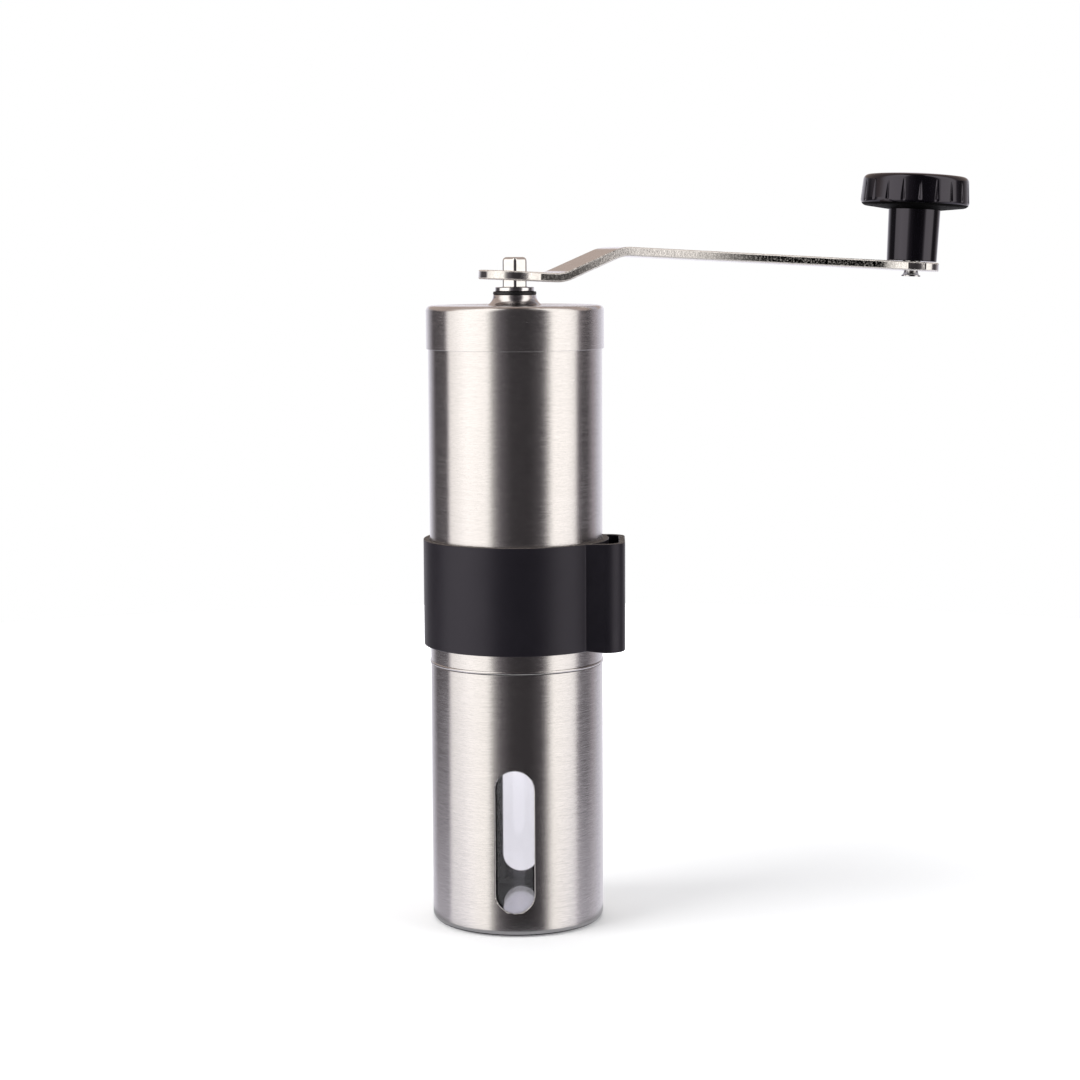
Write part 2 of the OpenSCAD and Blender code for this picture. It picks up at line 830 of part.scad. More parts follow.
// Moulded housing pressed into the hopper tube, with its funnel above and its spigot below
module burr_housing() {
    mouth_r = mouth_d / 2;
    groove_z = spigot_z + spigot_len / 2;
    color([0.16, 0.16, 0.17])
        difference() {
            union() {
                translate([0, 0, spigot_z])
                    cylinder(r = spigot_r, h = spigot_len + housing_up / 2);
                translate([0, 0, hopper_z])
                    cylinder(r = insert_r, h = housing_up);
            }
            translate([0, 0, spigot_z - cut])
                cylinder(r = recess_r, h = recess_h + cut);
            translate([0, 0, ring_z - cut])
                cylinder(r = ring_r + seat_gap, h = ring_h + cut + seat_gap);
            translate([0, 0, ring_top - cut])
                cylinder(r = mouth_r + seat_gap, h = cut + housing_top - ring_top);
            translate([0, 0, ring_top + seat_gap])
                cylinder(r1 = mouth_r + seat_gap, r2 = insert_r - funnel_rim,
                         h = housing_top - ring_top - seat_gap);
            translate([0, 0, housing_top - seat_gap])
                cylinder(r = insert_r - funnel_rim, h = cut);
            translate([0, 0, groove_z - seal_t / 2 - seat_gap])
                ring(tube_r, bore_r - insert_gap - seal_t - seat_gap, seal_t + 2 * seat_gap);
            at_screws()
                translate([0, 0, ring_z - cut])
                    cylinder(r = screw_d / 2 + seat_gap, h = screw_len - retainer_t + cut + seat_gap);
        }
}

// Places its children at each of the retainer's screws
module at_screws() {
    for (i = [0 : screws - 1])
        rotate(i * 360 / screws)
            translate([screw_pcr, 0, 0])
                children();
}

// Fixed ceramic burr, a ring with slanting teeth inside
module ring_burr() {
    low_r = ring_in_d / 2;
    top_r = mouth_d / 2;
    lean = (low_r - top_r) / ring_h;
    start_r = low_r + lean * cut;
    end_r = top_r - lean * cut;
    color("whitesmoke")
        difference() {
            translate([0, 0, ring_z])
                cylinder(r = ring_r, h = ring_h);
            translate([0, 0, ring_z - cut])
                linear_extrude(ring_h + 2 * cut, scale = end_r / start_r, twist = ring_twist,
                               slices = tooth_steps)
                    toothed(start_r, ring_teeth);
        }
}

// Turning ceramic burr, a cone with slanting teeth
module conical_burr() {
    color("whitesmoke")
        difference() {
            translate([0, 0, cone_z])
                linear_extrude(cone_h, scale = cone_top_d / cone_d, twist = cone_twist,
                               slices = tooth_steps)
                    toothed(cone_d / 2, cone_teeth);
            translate([0, 0, cone_z - cut])
                cylinder(r = core_d / 2 + seat_gap, h = cone_h + 2 * cut);
        }
}

// Round outline whose edge is cut into saw teeth
module toothed(r, teeth) {
    polygon([for (i = [0 : teeth - 1], root = [1, 0])
        let (a = (i + root / 4) * 360 / teeth)
        (r - root * tooth_depth) * [cos(a), sin(a)]]);
}

// Moulded ring that clamps the ring burr up in its housing
module burr_retainer() {
    color([0.16, 0.16, 0.17])
        difference() {
            translate([0, 0, ring_z - retainer_t])
                ring(recess_r - seat_gap, ring_in_d / 2 + seat_gap, retainer_t);
            at_screws()
                translate([0, 0, ring_z - retainer_t - cut])
                    cylinder(r = screw_d / 2 + seat_gap, h = retainer_t + 2 * cut);
        }
}

// Three pan-head screws that hold the retainer
module retainer_screws() {
    color("silver")
        at_screws()
            translate([0, 0, ring_z - retainer_t - screw_head_h]) {
                cylinder(r = screw_head_d / 2, h = screw_head_h);
                cylinder(r = screw_d / 2, h = screw_head_h + screw_len);
            }
}

// Rubber ring in the spigot's groove, which grips the catch tube
module spigot_seal() {
    color("dimgray")
        translate([0, 0, spigot_z + spigot_len / 2])
            rotate_extrude()
                translate([bore_r - insert_gap - seal_t / 2, 0])
                    circle(seal_t / 2);
}

// Moulded core that carries the conical burr and slides on the shaft's flats
module burr_core() {
    color([0.3, 0.3, 0.32])
        difference() {
            union() {
                translate([0, 0, cone_z - core_flange_t / 2])
                    cylinder(r = core_d / 2, h = core_flange_t / 2 + cone_h + core_up);
                translate([0, 0, cone_z - core_flange_t])
                    cylinder(r = core_flange_d / 2, h = core_flange_t);
                translate([0, 0, core_bottom])
                    cylinder(r = core_hub_d / 2, h = core_hub_h + core_flange_t / 2);
                for (side = [0, 180])
                    rotate(side)
                        translate([core_hub_d * 3 / 8, 0, core_bottom - click_h])
                            cylinder(r = core_hub_d / 16, h = click_h + core_hub_h / 2);
            }
            translate([0, 0, core_bottom - cut])
                intersection() {
                    cylinder(r = shaft_r + run_gap, h = core_top - core_bottom + 2 * cut);
                    translate([-shaft_d, -flats_w / 2 - run_gap, 0])
                        cube([2 * shaft_d, flats_w + 2 * run_gap, core_top - core_bottom + 2 * cut]);
                }
        }
}

// Fluted knob under the burr that sets the grind, with a pocket for its nut
module adjuster_knob() {
    adj_r = adj_d / 2;
    dent = core_hub_d / 16 + run_gap;
    grip_r = adj_r * PI / clicks / 2;
    color([0.2, 0.2, 0.21])
        difference() {
            translate([0, 0, adj_z])
                cylinder(r = adj_r, h = adj_h);
            translate([0, 0, adj_z - cut])
                cylinder(r = shaft_r + run_gap, h = adj_h + 2 * cut);
            translate([0, 0, adj_z - cut])
                cylinder(r = nut_af / sqrt(3) + seat_gap, h = adj_h - adj_roof + cut, $fn = 6);
            for (i = [0 : clicks - 1])
                rotate(i * 360 / clicks) {
                    translate([core_hub_d * 3 / 8, 0, adj_top - click_h])
                        cylinder(r = dent, h = click_h + cut);
                    translate([adj_r, 0, adj_z - cut])
                        cylinder(r = grip_r, h = adj_h + 2 * cut);
                }
        }
}

// Hexagon nut held in the adjuster knob, which climbs the shaft's thread
module adjuster_nut() {
    color("silver")
        translate([0, 0, adj_top - adj_roof - seat_gap - nut_h])
            difference() {
                cylinder(r = nut_af / sqrt(3), h = nut_h, $fn = 6);
                translate([0, 0, -cut])
                    cylinder(r = shaft_r + run_gap, h = nut_h + 2 * cut);
            }
}

hopper_tube();
catch_tube();
window_liner();
lid_cap();
neck_washer();
lid_bush();
drive_shaft();
crank_arm();
knob_pin();
knob_stem();
knob_head();
crank_band();
bearing_bracket();
shaft_bush();
thrust_washer();
shaft_clip();
burr_spring();
burr_housing();
ring_burr();
burr_retainer();
retainer_screws();
spigot_seal();
conical_burr();
burr_core();
adjuster_knob();
adjuster_nut();
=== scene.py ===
import json
import math

import bmesh
import bpy
from mathutils import Matrix, Vector


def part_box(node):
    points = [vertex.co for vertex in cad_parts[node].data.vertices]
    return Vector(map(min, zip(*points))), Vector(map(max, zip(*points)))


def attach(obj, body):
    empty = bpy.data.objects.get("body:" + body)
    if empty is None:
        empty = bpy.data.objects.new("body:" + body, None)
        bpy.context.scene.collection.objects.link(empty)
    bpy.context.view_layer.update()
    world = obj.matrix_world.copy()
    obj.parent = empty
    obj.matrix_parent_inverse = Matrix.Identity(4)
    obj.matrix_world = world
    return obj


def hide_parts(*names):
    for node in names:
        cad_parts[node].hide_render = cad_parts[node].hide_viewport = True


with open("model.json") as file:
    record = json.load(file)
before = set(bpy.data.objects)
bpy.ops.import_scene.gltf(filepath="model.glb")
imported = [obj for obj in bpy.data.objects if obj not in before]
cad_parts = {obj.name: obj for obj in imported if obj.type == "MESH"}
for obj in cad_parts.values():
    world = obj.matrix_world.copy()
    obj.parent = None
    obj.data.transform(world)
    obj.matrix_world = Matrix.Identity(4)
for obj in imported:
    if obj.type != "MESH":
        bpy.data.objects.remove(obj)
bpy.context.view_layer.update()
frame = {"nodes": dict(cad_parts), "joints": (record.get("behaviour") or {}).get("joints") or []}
scene = bpy.context.scene
scene.view_settings.view_transform = "Standard"
mm = 0.001

# Camera. It stands a little above the lid and looks slightly down through a long lens,
# from just to the right of the windows, and leans by a fraction of a degree.
camera_distance = 651.9 * mm
camera_height = 181.7 * mm
camera_side = math.radians(2.1)
camera_pitch = math.radians(6.75)
camera_turn = math.radians(0.57)
camera_roll = math.radians(0.28)
lens = bpy.data.cameras.new("camera")
lens.sensor_width = 36
lens.lens = 80.27
camera = bpy.data.objects.new("camera", lens)
scene.collection.objects.link(camera)
camera_foot = Vector((math.sin(camera_side), -math.cos(camera_side), 0)) * camera_distance
camera.matrix_world = (
    Matrix.Translation(camera_foot + Vector((0, 0, camera_height)))
    @ Matrix.Rotation(camera_side - camera_turn, 4, "Z")
    @ Matrix.Rotation(math.pi / 2 - camera_pitch, 4, "X")
    @ Matrix.Rotation(-camera_roll, 4, "Z")
)
scene.camera = camera


# Studio. White seamless paper under and behind the grinder, with soft lamps that only light it.
# What polished metal mirrors is a ring of panels: white paper behind, a broad softbox on the left,
# a narrow one on the right, and unlit room in front and in the two gaps.
def hex_colour(code):
    """Linear colour, with alpha 1, of an sRGB hex code."""
    parts = [int(code[i : i + 2], 16) / 255 for i in (1, 3, 5)]
    return [c / 12.92 if c <= 0.04045 else ((c + 0.055) / 1.055) ** 2.4 for c in parts] + [1.0]


def add(tree, kind, settings=None, inputs=None):
    """Adds a node to a tree: its settings by name, and its inputs as values or as nodes to link from."""
    new = tree.nodes.new(kind)
    for name, value in (settings or {}).items():
        setattr(new, name, value)
    for name, value in (inputs or {}).items():
        if isinstance(value, bpy.types.Node):
            value = value.outputs[0]
        if isinstance(value, bpy.types.NodeSocket):
            tree.links.new(value, new.inputs[name])
        else:
            new.inputs[name].default_value = value
    return new


def new_material(name):
    """An empty node material."""
    made = bpy.data.materials.new(name)
    made.use_nodes = True
    made.node_tree.nodes.clear()
    return made


def seen_rays(tree):
    """1 on the rays that show a surface, in the camera, glass or metal, and 0 on those that it lights by."""
    rays = add(tree, "ShaderNodeLightPath")
    seen = add(tree, "ShaderNodeMath", {"operation": "MAXIMUM"},
               {0: rays.outputs["Is Camera Ray"], 1: rays.outputs["Is Transmission Ray"]})
    return add(tree, "ShaderNodeMath", {"operation": "MAXIMUM"}, {0: seen, 1: rays.outputs["Is Glossy Ray"]})


# The paper is matt. Away from the grinder it is lifted to the pure white of an overexposed sweep.
paper = new_material("white_seamless_paper")
tree = paper.node_tree
spot = add(tree, "ShaderNodeTexCoord")
from_middle = add(tree, "ShaderNodeVectorMath", {"operation": "LENGTH"}, {0: spot.outputs["Object"]})
paper_lift = add(tree, "ShaderNodeMapRange", {"interpolation_type": "SMOOTHSTEP"},
                 {0: from_middle.outputs["Value"], 1: 0.1, 2: 0.42, 3: 0.1, 4: 0.8})
lift = add(tree, "ShaderNodeMath", {"operation": "MULTIPLY"}, {0: seen_rays(tree), 1: paper_lift})
glow = add(tree, "ShaderNodeEmission", inputs={"Color": hex_colour("#ffffff"), "Strength": lift})
flat = add(tree, "ShaderNodeBsdfDiffuse", inputs={"Color": hex_colour("#f4f4f4")})
both = add(tree, "ShaderNodeAddShader", inputs={0: glow, 1: flat})
add(tree, "ShaderNodeOutputMaterial", inputs={"Surface": both})


def new_piece(name, mesh, *materials):
    """An object of that mesh in the scene, with its materials."""
    made = bpy.data.objects.new(name, mesh)
    scene.collection.objects.link(made)
    for material in materials:
        mesh.materials.append(material)
    return made


def finished(made, name):
    """Mesh data of that name from a mesh under construction, which it ends."""
    data = bpy.data.meshes.new(name)
    made.to_mesh(data)
    made.free()
    return data


def disc(name, radius, sides=96):
    """Mesh of a flat disc at table height."""
    made = bmesh.new()
    bmesh.ops.create_circle(made, cap_ends=True, segments=sides, radius=radius)
    return finished(made, name)


floor_radius = 0.6
floor = new_piece("floor", disc("floor", floor_radius), paper)
floor.visible_glossy = False


def only_mirrored(made):
    """Hides a piece of the studio from everything but the reflections in the metal."""
    made.visible_camera = False
    made.visible_diffuse = False
    made.visible_transmission = False
    made.visible_shadow = False


# The shaded paper close round the foot, which only the steel above it mirrors
contact_radius = 28 * mm
paper_at_foot = new_piece("paper_at_foot", disc("paper_at_foot", contact_radius), paper)
only_mirrored(paper_at_foot)

# The world shows as white, but lights the grinder no more than a dim room
world = bpy.data.worlds.new("studio")
scene.world = world
world.use_nodes = True
tree = world.node_tree
tree.nodes.clear()
room = add(tree, "ShaderNodeBackground", inputs={"Color": hex_colour("#dcdce0"), "Strength": 0.5})
white = add(tree, "ShaderNodeBackground", inputs={"Color": hex_colour("#ffffff"), "Strength": 1.0})
backdrop = add(tree, "ShaderNodeMixShader", inputs={0: seen_rays(tree), 1: room, 2: white})
add(tree, "ShaderNodeOutputWorld", inputs={"Surface": backdrop})


def lamp(name, side, up, distance, size, power):
    """A soft square lamp, aimed at the grinder's middle, in metres and watts. Its side is its bearing
    from the front and up its height above the horizon, both in degrees."""
    light = bpy.data.lights.new(name, "AREA")
    light.size = size
    light.energy = power
    made = bpy.data.objects.new(name, light)
    scene.collection.objects.link(made)
    bearing, climb = math.radians(side), math.radians(up)
    away = Vector((math.sin(bearing) * math.cos(climb), -math.cos(bearing) * math.cos(climb),
                   math.sin(climb)))
    middle = Vector((0, 0, 100 * mm))
    made.location = middle + away * distance
    made.rotation_euler = away.to_track_quat("Z", "Y").to_euler()
    made.visible_glossy = False


lamp("left_softbox", side=-62, up=34, distance=1.1, size=0.7, power=9.0)
lamp("right_softbox", side=70, up=40, distance=1.2, size=0.6, power=4.0)
lamp("top_softbox", side=180, up=75, distance=1.3, size=1.0, power=7.0)

# What the panels show round the grinder, as (bearing from the camera in degrees, colour, strength)
warm_box = "#fffaf3"
cool_paper = "#f6f3fb"
dark_room = "#f4e9ee"
panels = [
    (-180, cool_paper, 0.98), (-160, cool_paper, 0.82), (-148, cool_paper, 0.5),
    (-133, dark_room, 0.09), (-104, dark_room, 0.095),
    (-97, warm_box, 1.15), (-68, warm_box, 1.52), (-38, warm_box, 1.38), (-31, warm_box, 0.5),
    (-23, dark_room, 0.17), (-8, dark_room, 0.055), (18, dark_room, 0.045), (36, dark_room, 0.11),
    (43, warm_box, 0.6), (48, warm_box, 1.42), (72, warm_box, 1.4), (84, warm_box, 1.15),
    (89, dark_room, 0.2), (98, dark_room, 0.085), (109, dark_room, 0.085), (124, dark_room, 0.42),
    (138, cool_paper, 0.66), (152, cool_paper, 0.86), (180, cool_paper, 0.98),
]
# Behind, the paper ends and the wall shows above it; over it all hangs a dull ceiling
wall_tint = "#c3b2a8"
wall_level = 1.0
ceiling_level = 0.16
# From its middle the ring reaches 62 degrees down and 76 up, and the paper ends about 14 up
ring_radius = 3.0
ring_low = -ring_radius * math.tan(math.radians(62))
ring_high = ring_radius * math.tan(math.radians(76))
paper_top = ring_radius * math.tan(math.radians(11)) + 0.17
paper_fade = 0.12


def set_stops(ramp, stops):
    """Gives a colour ramp its stops, as (place from 0 to 1, linear colour)."""
    elements = ramp.color_ramp.elements
    while len(elements) < len(stops):
        elements.new(0.5)
    for element, (place, colour) in zip(elements, stops):
        element.position = place
        element.color = colour


studio_panels = new_material("softboxes_and_paper")
tree = studio_panels.node_tree
spot = add(tree, "ShaderNodeTexCoord")
split = add(tree, "ShaderNodeSeparateXYZ", inputs={0: spot.outputs["Object"]})
# The panels' upright edges lean a little, and so do their reflections in the tube
front = add(tree, "ShaderNodeMath", {"operation": "MULTIPLY"}, {0: split.outputs["Y"], 1: -1.0})
bearing = add(tree, "ShaderNodeMath", {"operation": "ARCTAN2"}, {0: split.outputs["X"], 1: front})
lean = add(tree, "ShaderNodeMapRange",
           inputs={0: split.outputs["Z"], 1: -1.0, 2: 0.0, 3: math.radians(4.6), 4: math.radians(-2.0)})
leaning = add(tree, "ShaderNodeMath", {"operation": "ADD"}, {0: bearing, 1: lean})
turn = add(tree, "ShaderNodeMapRange", inputs={0: leaning, 1: -math.pi, 2: math.pi, 3: 0.0, 4: 1.0})
round_colour = add(tree, "ShaderNodeValToRGB", inputs={0: turn})
round_level = add(tree, "ShaderNodeValToRGB", inputs={0: turn})
brightest = max(level for _, _, level in panels)
set_stops(round_colour, [(angle / 360 + 0.5, hex_colour(tint)) for angle, tint, _ in panels])
set_stops(round_level, [(angle / 360 + 0.5, [level / brightest] * 3 + [1.0]) for angle, _, level in panels])
# The panels are dimmer low down, and little light reaches them near the studio's floor
fall = add(tree, "ShaderNodeMapRange",
           inputs={0: split.outputs["Z"], 1: -0.8, 2: -0.2, 3: brightest, 4: brightest * 1.16})
unlit = add(tree, "ShaderNodeMapRange", {"interpolation_type": "SMOOTHSTEP"},
            {0: split.outputs["Z"], 1: -1.1, 2: -2.2, 3: 1.0, 4: 0.15})
fall = add(tree, "ShaderNodeMath", {"operation": "MULTIPLY"}, {0: fall, 1: unlit})
level = add(tree, "ShaderNodeMath", {"operation": "MULTIPLY"}, {0: round_level, 1: fall})
above = add(tree, "ShaderNodeMapRange", {"interpolation_type": "SMOOTHSTEP"},
            {0: split.outputs["Z"], 1: paper_top - paper_fade, 2: paper_top + paper_fade, 3: 0.0, 4: 1.0})
behind = add(tree, "ShaderNodeMapRange", {"interpolation_type": "SMOOTHSTEP"},
             {0: front, 1: 0.2 * ring_radius, 2: -0.2 * ring_radius, 3: 0.0, 4: 1.0})
wall = add(tree, "ShaderNodeMath", {"operation": "MULTIPLY"}, {0: above, 1: behind})
ceiling = add(tree, "ShaderNodeMath", {"operation": "GREATER_THAN"},
              {0: split.outputs["Z"], 1: ring_high * 0.999})
dull = add(tree, "ShaderNodeMath", {"operation": "MAXIMUM"}, {0: wall, 1: ceiling})
dull_level = add(tree, "ShaderNodeMapRange",
                 inputs={0: ceiling, 1: 0.0, 2: 1.0, 3: wall_level, 4: ceiling_level})
# At the sides and behind, the paper comes forward over the table and shows below
table_level = 0.95
beside = add(tree, "ShaderNodeMapRange", {"interpolation_type": "SMOOTHSTEP"},
             {0: front, 1: 0.7 * ring_radius, 2: 0.1 * ring_radius, 3: 0.0, 4: 1.0})
below = add(tree, "ShaderNodeMapRange", {"interpolation_type": "SMOOTHSTEP"},
            {0: split.outputs["Z"], 1: -0.55, 2: -1.0, 3: 0.0, 4: 1.0})
table = add(tree, "ShaderNodeMath", {"operation": "MULTIPLY"}, {0: below, 1: beside})
upper = add(tree, "ShaderNodeMix", {"data_type": "RGBA"},
            {0: dull, 6: round_colour, 7: hex_colour(wall_tint)})
upper_level = add(tree, "ShaderNodeMix", {"data_type": "FLOAT"}, {0: dull, 2: level, 3: dull_level})
shade = add(tree, "ShaderNodeMix", {"data_type": "RGBA"},
            {0: table, 6: upper.outputs[2], 7: hex_colour(cool_paper)})
shade_level = add(tree, "ShaderNodeMix", {"data_type": "FLOAT"},
                  {0: table, 2: upper_level.outputs[0], 3: table_level})
glow = add(tree, "ShaderNodeEmission",
           inputs={"Color": shade.outputs[2], "Strength": shade_level.outputs[0]})
add(tree, "ShaderNodeOutputMaterial", inputs={"Surface": glow})

panel_mesh = bmesh.new()
bmesh.ops.create_cone(panel_mesh, cap_ends=False, segments=180, radius1=ring_radius, radius2=ring_radius,
                      depth=ring_high - ring_low)
bmesh.ops.translate(panel_mesh, verts=panel_mesh.verts, vec=(0, 0, (ring_high + ring_low) / 2))
rim = [edge for edge in panel_mesh.edges if min(point.co.z for point in edge.verts) > ring_high * 0.99]
bmesh.ops.edgeloop_fill(panel_mesh, edges=rim)
studio_ring = new_piece("studio_panels", finished(panel_mesh, "studio_panels"), studio_panels)
studio_ring.rotation_euler.z = camera_side
only_mirrored(studio_ring)


# Hopper tube. Thin-walled stainless steel tube, type 304, cut to length and polished with a belt
# while it turns. Its lower rim is rolled outward into a fine bead. It is the grinder's body.
def arc(centre, radius, start, stop, steps=8):
    """Points of an arc in the outline of a turned piece, by angles in degrees."""
    angles = [math.radians(start + (stop - start) * i / steps) for i in range(steps + 1)]
    return [(centre[0] + radius * math.cos(a), centre[1] + radius * math.sin(a)) for a in angles]


def skin(made, rings):
    """Joins each closed ring of points to the next with faces. A ring may be one point, repeated."""
    for low, high in zip(rings, rings[1:]):
        for i in range(len(low)):
            n = (i + 1) % len(low)
            corners = list(dict.fromkeys((low[i], low[n], high[n], high[i])))
            if len(corners) > 2:
                made.faces.new(corners)


def turned(name, outline, sides=288):
    """Mesh of a closed outline of (radius, height) points, turned about the Z axis."""
    made = bmesh.new()
    angles = [2 * math.pi * i / sides for i in range(sides)]
    rings = []
    for radius, height in outline:
        if radius == 0:
            rings.append([made.verts.new((0, 0, height))] * sides)
            continue
        rings.append([made.verts.new((radius * math.cos(a), radius * math.sin(a), height)) for a in angles])
    skin(made, rings + rings[:1])
    bmesh.ops.recalc_face_normals(made, faces=made.faces)
    return finished(made, name)


def smooth(made, angle=32):
    """Rounds the shading, keeps edges sharper than the angle, and lets large faces rule."""
    made.data.shade_smooth()
    made.data.set_sharp_from_angle(angle=math.radians(angle))
    weighted = made.modifiers.new("face_weighted", "WEIGHTED_NORMAL")
    weighted.keep_sharp = True
    return made


def brushed_steel(name, tint, rough, contrast):
    """Stainless steel with belt lines round the Z axis: the lines spread its reflections up and down."""
    made = new_material(name)
    tree = made.node_tree
    spot = add(tree, "ShaderNodeTexCoord")
    # Lengths and widths of fine lines, broad lines and clouds in mm. A real belt's lines are finer
    # than a tenth of a millimetre, and are drawn as wide as they need to be to show.
    layers = []
    for length, width, detail in ((2.6, 0.24, 3.0), (14.0, 0.7, 2.0), (22.0, 30.0, 2.0)):
        reach = (1 / (length * mm), 1 / (length * mm), 1 / (width * mm))
        lines = add(tree, "ShaderNodeVectorMath", {"operation": "MULTIPLY"},
                    {0: spot.outputs["Object"], 1: reach})
        layers.append(add(tree, "ShaderNodeTexNoise",
                          inputs={"Vector": lines, "Scale": 1.0, "Detail": detail}))
    fine, broad, cloud = layers
    grain = add(tree, "ShaderNodeMix", {"data_type": "FLOAT"}, {0: 0.3, 2: fine, 3: broad})
    tone = add(tree, "ShaderNodeMapRange",
               inputs={0: grain.outputs[0], 1: 0.3, 2: 0.7, 3: 1 - contrast, 4: 1 + contrast})
    base = add(tree, "ShaderNodeVectorMath", {"operation": "SCALE"},
               {0: hex_colour(tint)[:3], "Scale": tone})
    worn = add(tree, "ShaderNodeMix", {"data_type": "FLOAT"}, {0: 0.4, 2: grain.outputs[0], 3: cloud})
    gloss = add(tree, "ShaderNodeMapRange",
                inputs={0: worn.outputs[0], 1: 0.35, 2: 0.65, 3: rough * 0.75, 4: rough * 1.35})
    scratch = add(tree, "ShaderNodeBump", inputs={"Strength": 0.7, "Distance": 0.03 * mm, "Height": fine})
    along = add(tree, "ShaderNodeTangent", {"direction_type": "RADIAL", "axis": "Z"})
    metal = add(tree, "ShaderNodeBsdfPrincipled", inputs={
        "Base Color": base, "Metallic": 1.0, "Roughness": gloss, "Anisotropic": 0.8,
        "Anisotropic Rotation": 0.25, "Tangent": along, "Normal": scratch})
    # The deepest lines are rough inside: they glint a little even where the steel mirrors the dark room
    spread = add(tree, "ShaderNodeBsdfPrincipled",
                 inputs={"Base Color": base, "Metallic": 1.0, "Roughness": 0.6})
    deep_length, deep_width = 1.1 * mm, 0.42 * mm
    deep = add(tree, "ShaderNodeVectorMath", {"operation": "MULTIPLY"},
               {0: spot.outputs["Object"], 1: (1 / deep_length, 1 / deep_length, 1 / deep_width)})
    deep_lines = add(tree, "ShaderNodeTexNoise",
                     inputs={"Vector": deep, "Scale": 1.0, "Detail": 4.0, "Roughness": 0.7})
    glint = add(tree, "ShaderNodeMapRange", inputs={0: deep_lines, 1: 0.44, 2: 0.72, 3: 0.0, 4: 0.09})
    surface = add(tree, "ShaderNodeMixShader", inputs={0: glint, 1: metal, 2: spread})
    add(tree, "ShaderNodeOutputMaterial", inputs={"Surface": surface})
    return made


tube_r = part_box("catch_tube")[1].x
tube_wall = 0.6 * mm
bore_r = tube_r - tube_wall
hopper_low, hopper_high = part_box("hopper_tube")[0].z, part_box("hopper_tube")[1].z
bead_h = 0.8 * mm
bead_out = 0.3 * mm
rim_round = 0.15 * mm
# Rings of points up the long wall keep its shading even
wall_shares = (0.03, 0.35, 0.7)
bead = [(tube_r + bead_out * math.sin(a), hopper_low + bead_h / 2 - bead_h / 2 * math.cos(a))
        for a in (math.pi * i / 12 for i in range(13))]
hopper_outline = (
    [(bore_r, hopper_low)] + bead
    + [(tube_r, hopper_low + (hopper_high - hopper_low) * share) for share in wall_shares]
    + arc((tube_r - rim_round, hopper_high - rim_round), rim_round, 0, 90, 4)
    + arc((bore_r + rim_round, hopper_high - rim_round), rim_round, 90, 180, 4)
)
belt_polished_tube = brushed_steel("belt_polished_stainless_tube", "#d0cecf", rough=0.2, contrast=0.08)
hopper = smooth(new_piece("hopper_tube_steel", turned("hopper_tube_steel", hopper_outline),
                          belt_polished_tube))
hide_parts("hopper_tube")
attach(hopper, "grinder_body")

# Catch tube. A deep-drawn stainless cup of the same diameter, with a rounded foot. Two slots with
# round ends are punched through its wall, front and back, and their edges are tumbled smooth.
catch_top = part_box("catch_tube")[1].z
foot_round = 1.8 * mm
foot_shares = (0.06, 0.35, 0.7)
slot_w = 10.4 * mm
slot_h = 38.7 * mm
slot_low = 6.6 * mm
slot_end = slot_w / 2


def bright_metal(name, tint, rough, mark_mm, depth_mm, lines=None):
    """Polished or plated metal, with fine handling marks that break its reflections a little. If it has
    polishing lines, they come as their length and width in mm and their bearing."""
    made = new_material(name)
    tree = made.node_tree
    spot = add(tree, "ShaderNodeTexCoord")
    marks = add(tree, "ShaderNodeTexNoise",
                inputs={"Vector": spot.outputs["Object"], "Scale": 1 / (mark_mm * mm), "Detail": 4.0})
    gloss = add(tree, "ShaderNodeMapRange",
                inputs={0: marks, 1: 0.3, 2: 0.7, 3: rough * 0.6, 4: rough * 1.5})
    waves = add(tree, "ShaderNodeBump", inputs={"Strength": 0.3, "Distance": depth_mm * mm, "Height": marks})
    wear = marks
    if lines:
        length, width, turn = lines
        along = add(tree, "ShaderNodeMapping", {"vector_type": "TEXTURE"},
                    {"Vector": spot.outputs["Object"], "Rotation": (0, 0, turn),
                     "Scale": (length * mm, width * mm, width * mm)})
        wear = add(tree, "ShaderNodeTexNoise", inputs={"Vector": along, "Scale": 1.0, "Detail": 3.0})
    tone = add(tree, "ShaderNodeMapRange", inputs={0: wear, 1: 0.3, 2: 0.7, 3: 0.88, 4: 1.08})
    base = add(tree, "ShaderNodeVectorMath", {"operation": "SCALE"},
               {0: hex_colour(tint)[:3], "Scale": tone})
    metal = add(tree, "ShaderNodeBsdfPrincipled", inputs={
        "Base Color": base, "Metallic": 1.0, "Roughness": gloss, "Normal": waves})
    add(tree, "ShaderNodeOutputMaterial", inputs={"Surface": metal})
    return made


def punched(made, outline, run):
    """Cuts a prism out of a piece: a flat outline of points, drawn out along the run."""
    prism = bmesh.new()
    face = prism.faces.new([prism.verts.new(point) for point in outline])
    grown = bmesh.ops.extrude_face_region(prism, geom=[face])
    moved = [v for v in grown["geom"] if isinstance(v, bmesh.types.BMVert)]
    bmesh.ops.translate(prism, verts=moved, vec=run)
    bmesh.ops.recalc_face_normals(prism, faces=prism.faces)
    punch = new_piece("punch", finished(prism, "punch"))
    cut = made.modifiers.new("punched", "BOOLEAN")
    cut.object = punch
    cut.solver = "EXACT"
    graph = bpy.context.evaluated_depsgraph_get()
    data = bpy.data.meshes.new_from_object(made.evaluated_get(graph))
    made.modifiers.clear()
    made.data = data
    bpy.data.objects.remove(punch)


catch_outline = (
    [(0, 0)] + arc((tube_r - foot_round, foot_round), foot_round, -90, 0, 10)
    + [(tube_r, catch_top * share) for share in foot_shares]
    + arc((tube_r - rim_round, catch_top - rim_round), rim_round, 0, 90, 4)
    + arc((bore_r + rim_round, catch_top - rim_round), rim_round, 90, 180, 4)
    + arc((tube_r - foot_round, foot_round), foot_round - tube_wall, 0, -90, 8) + [(0, tube_wall)]
)
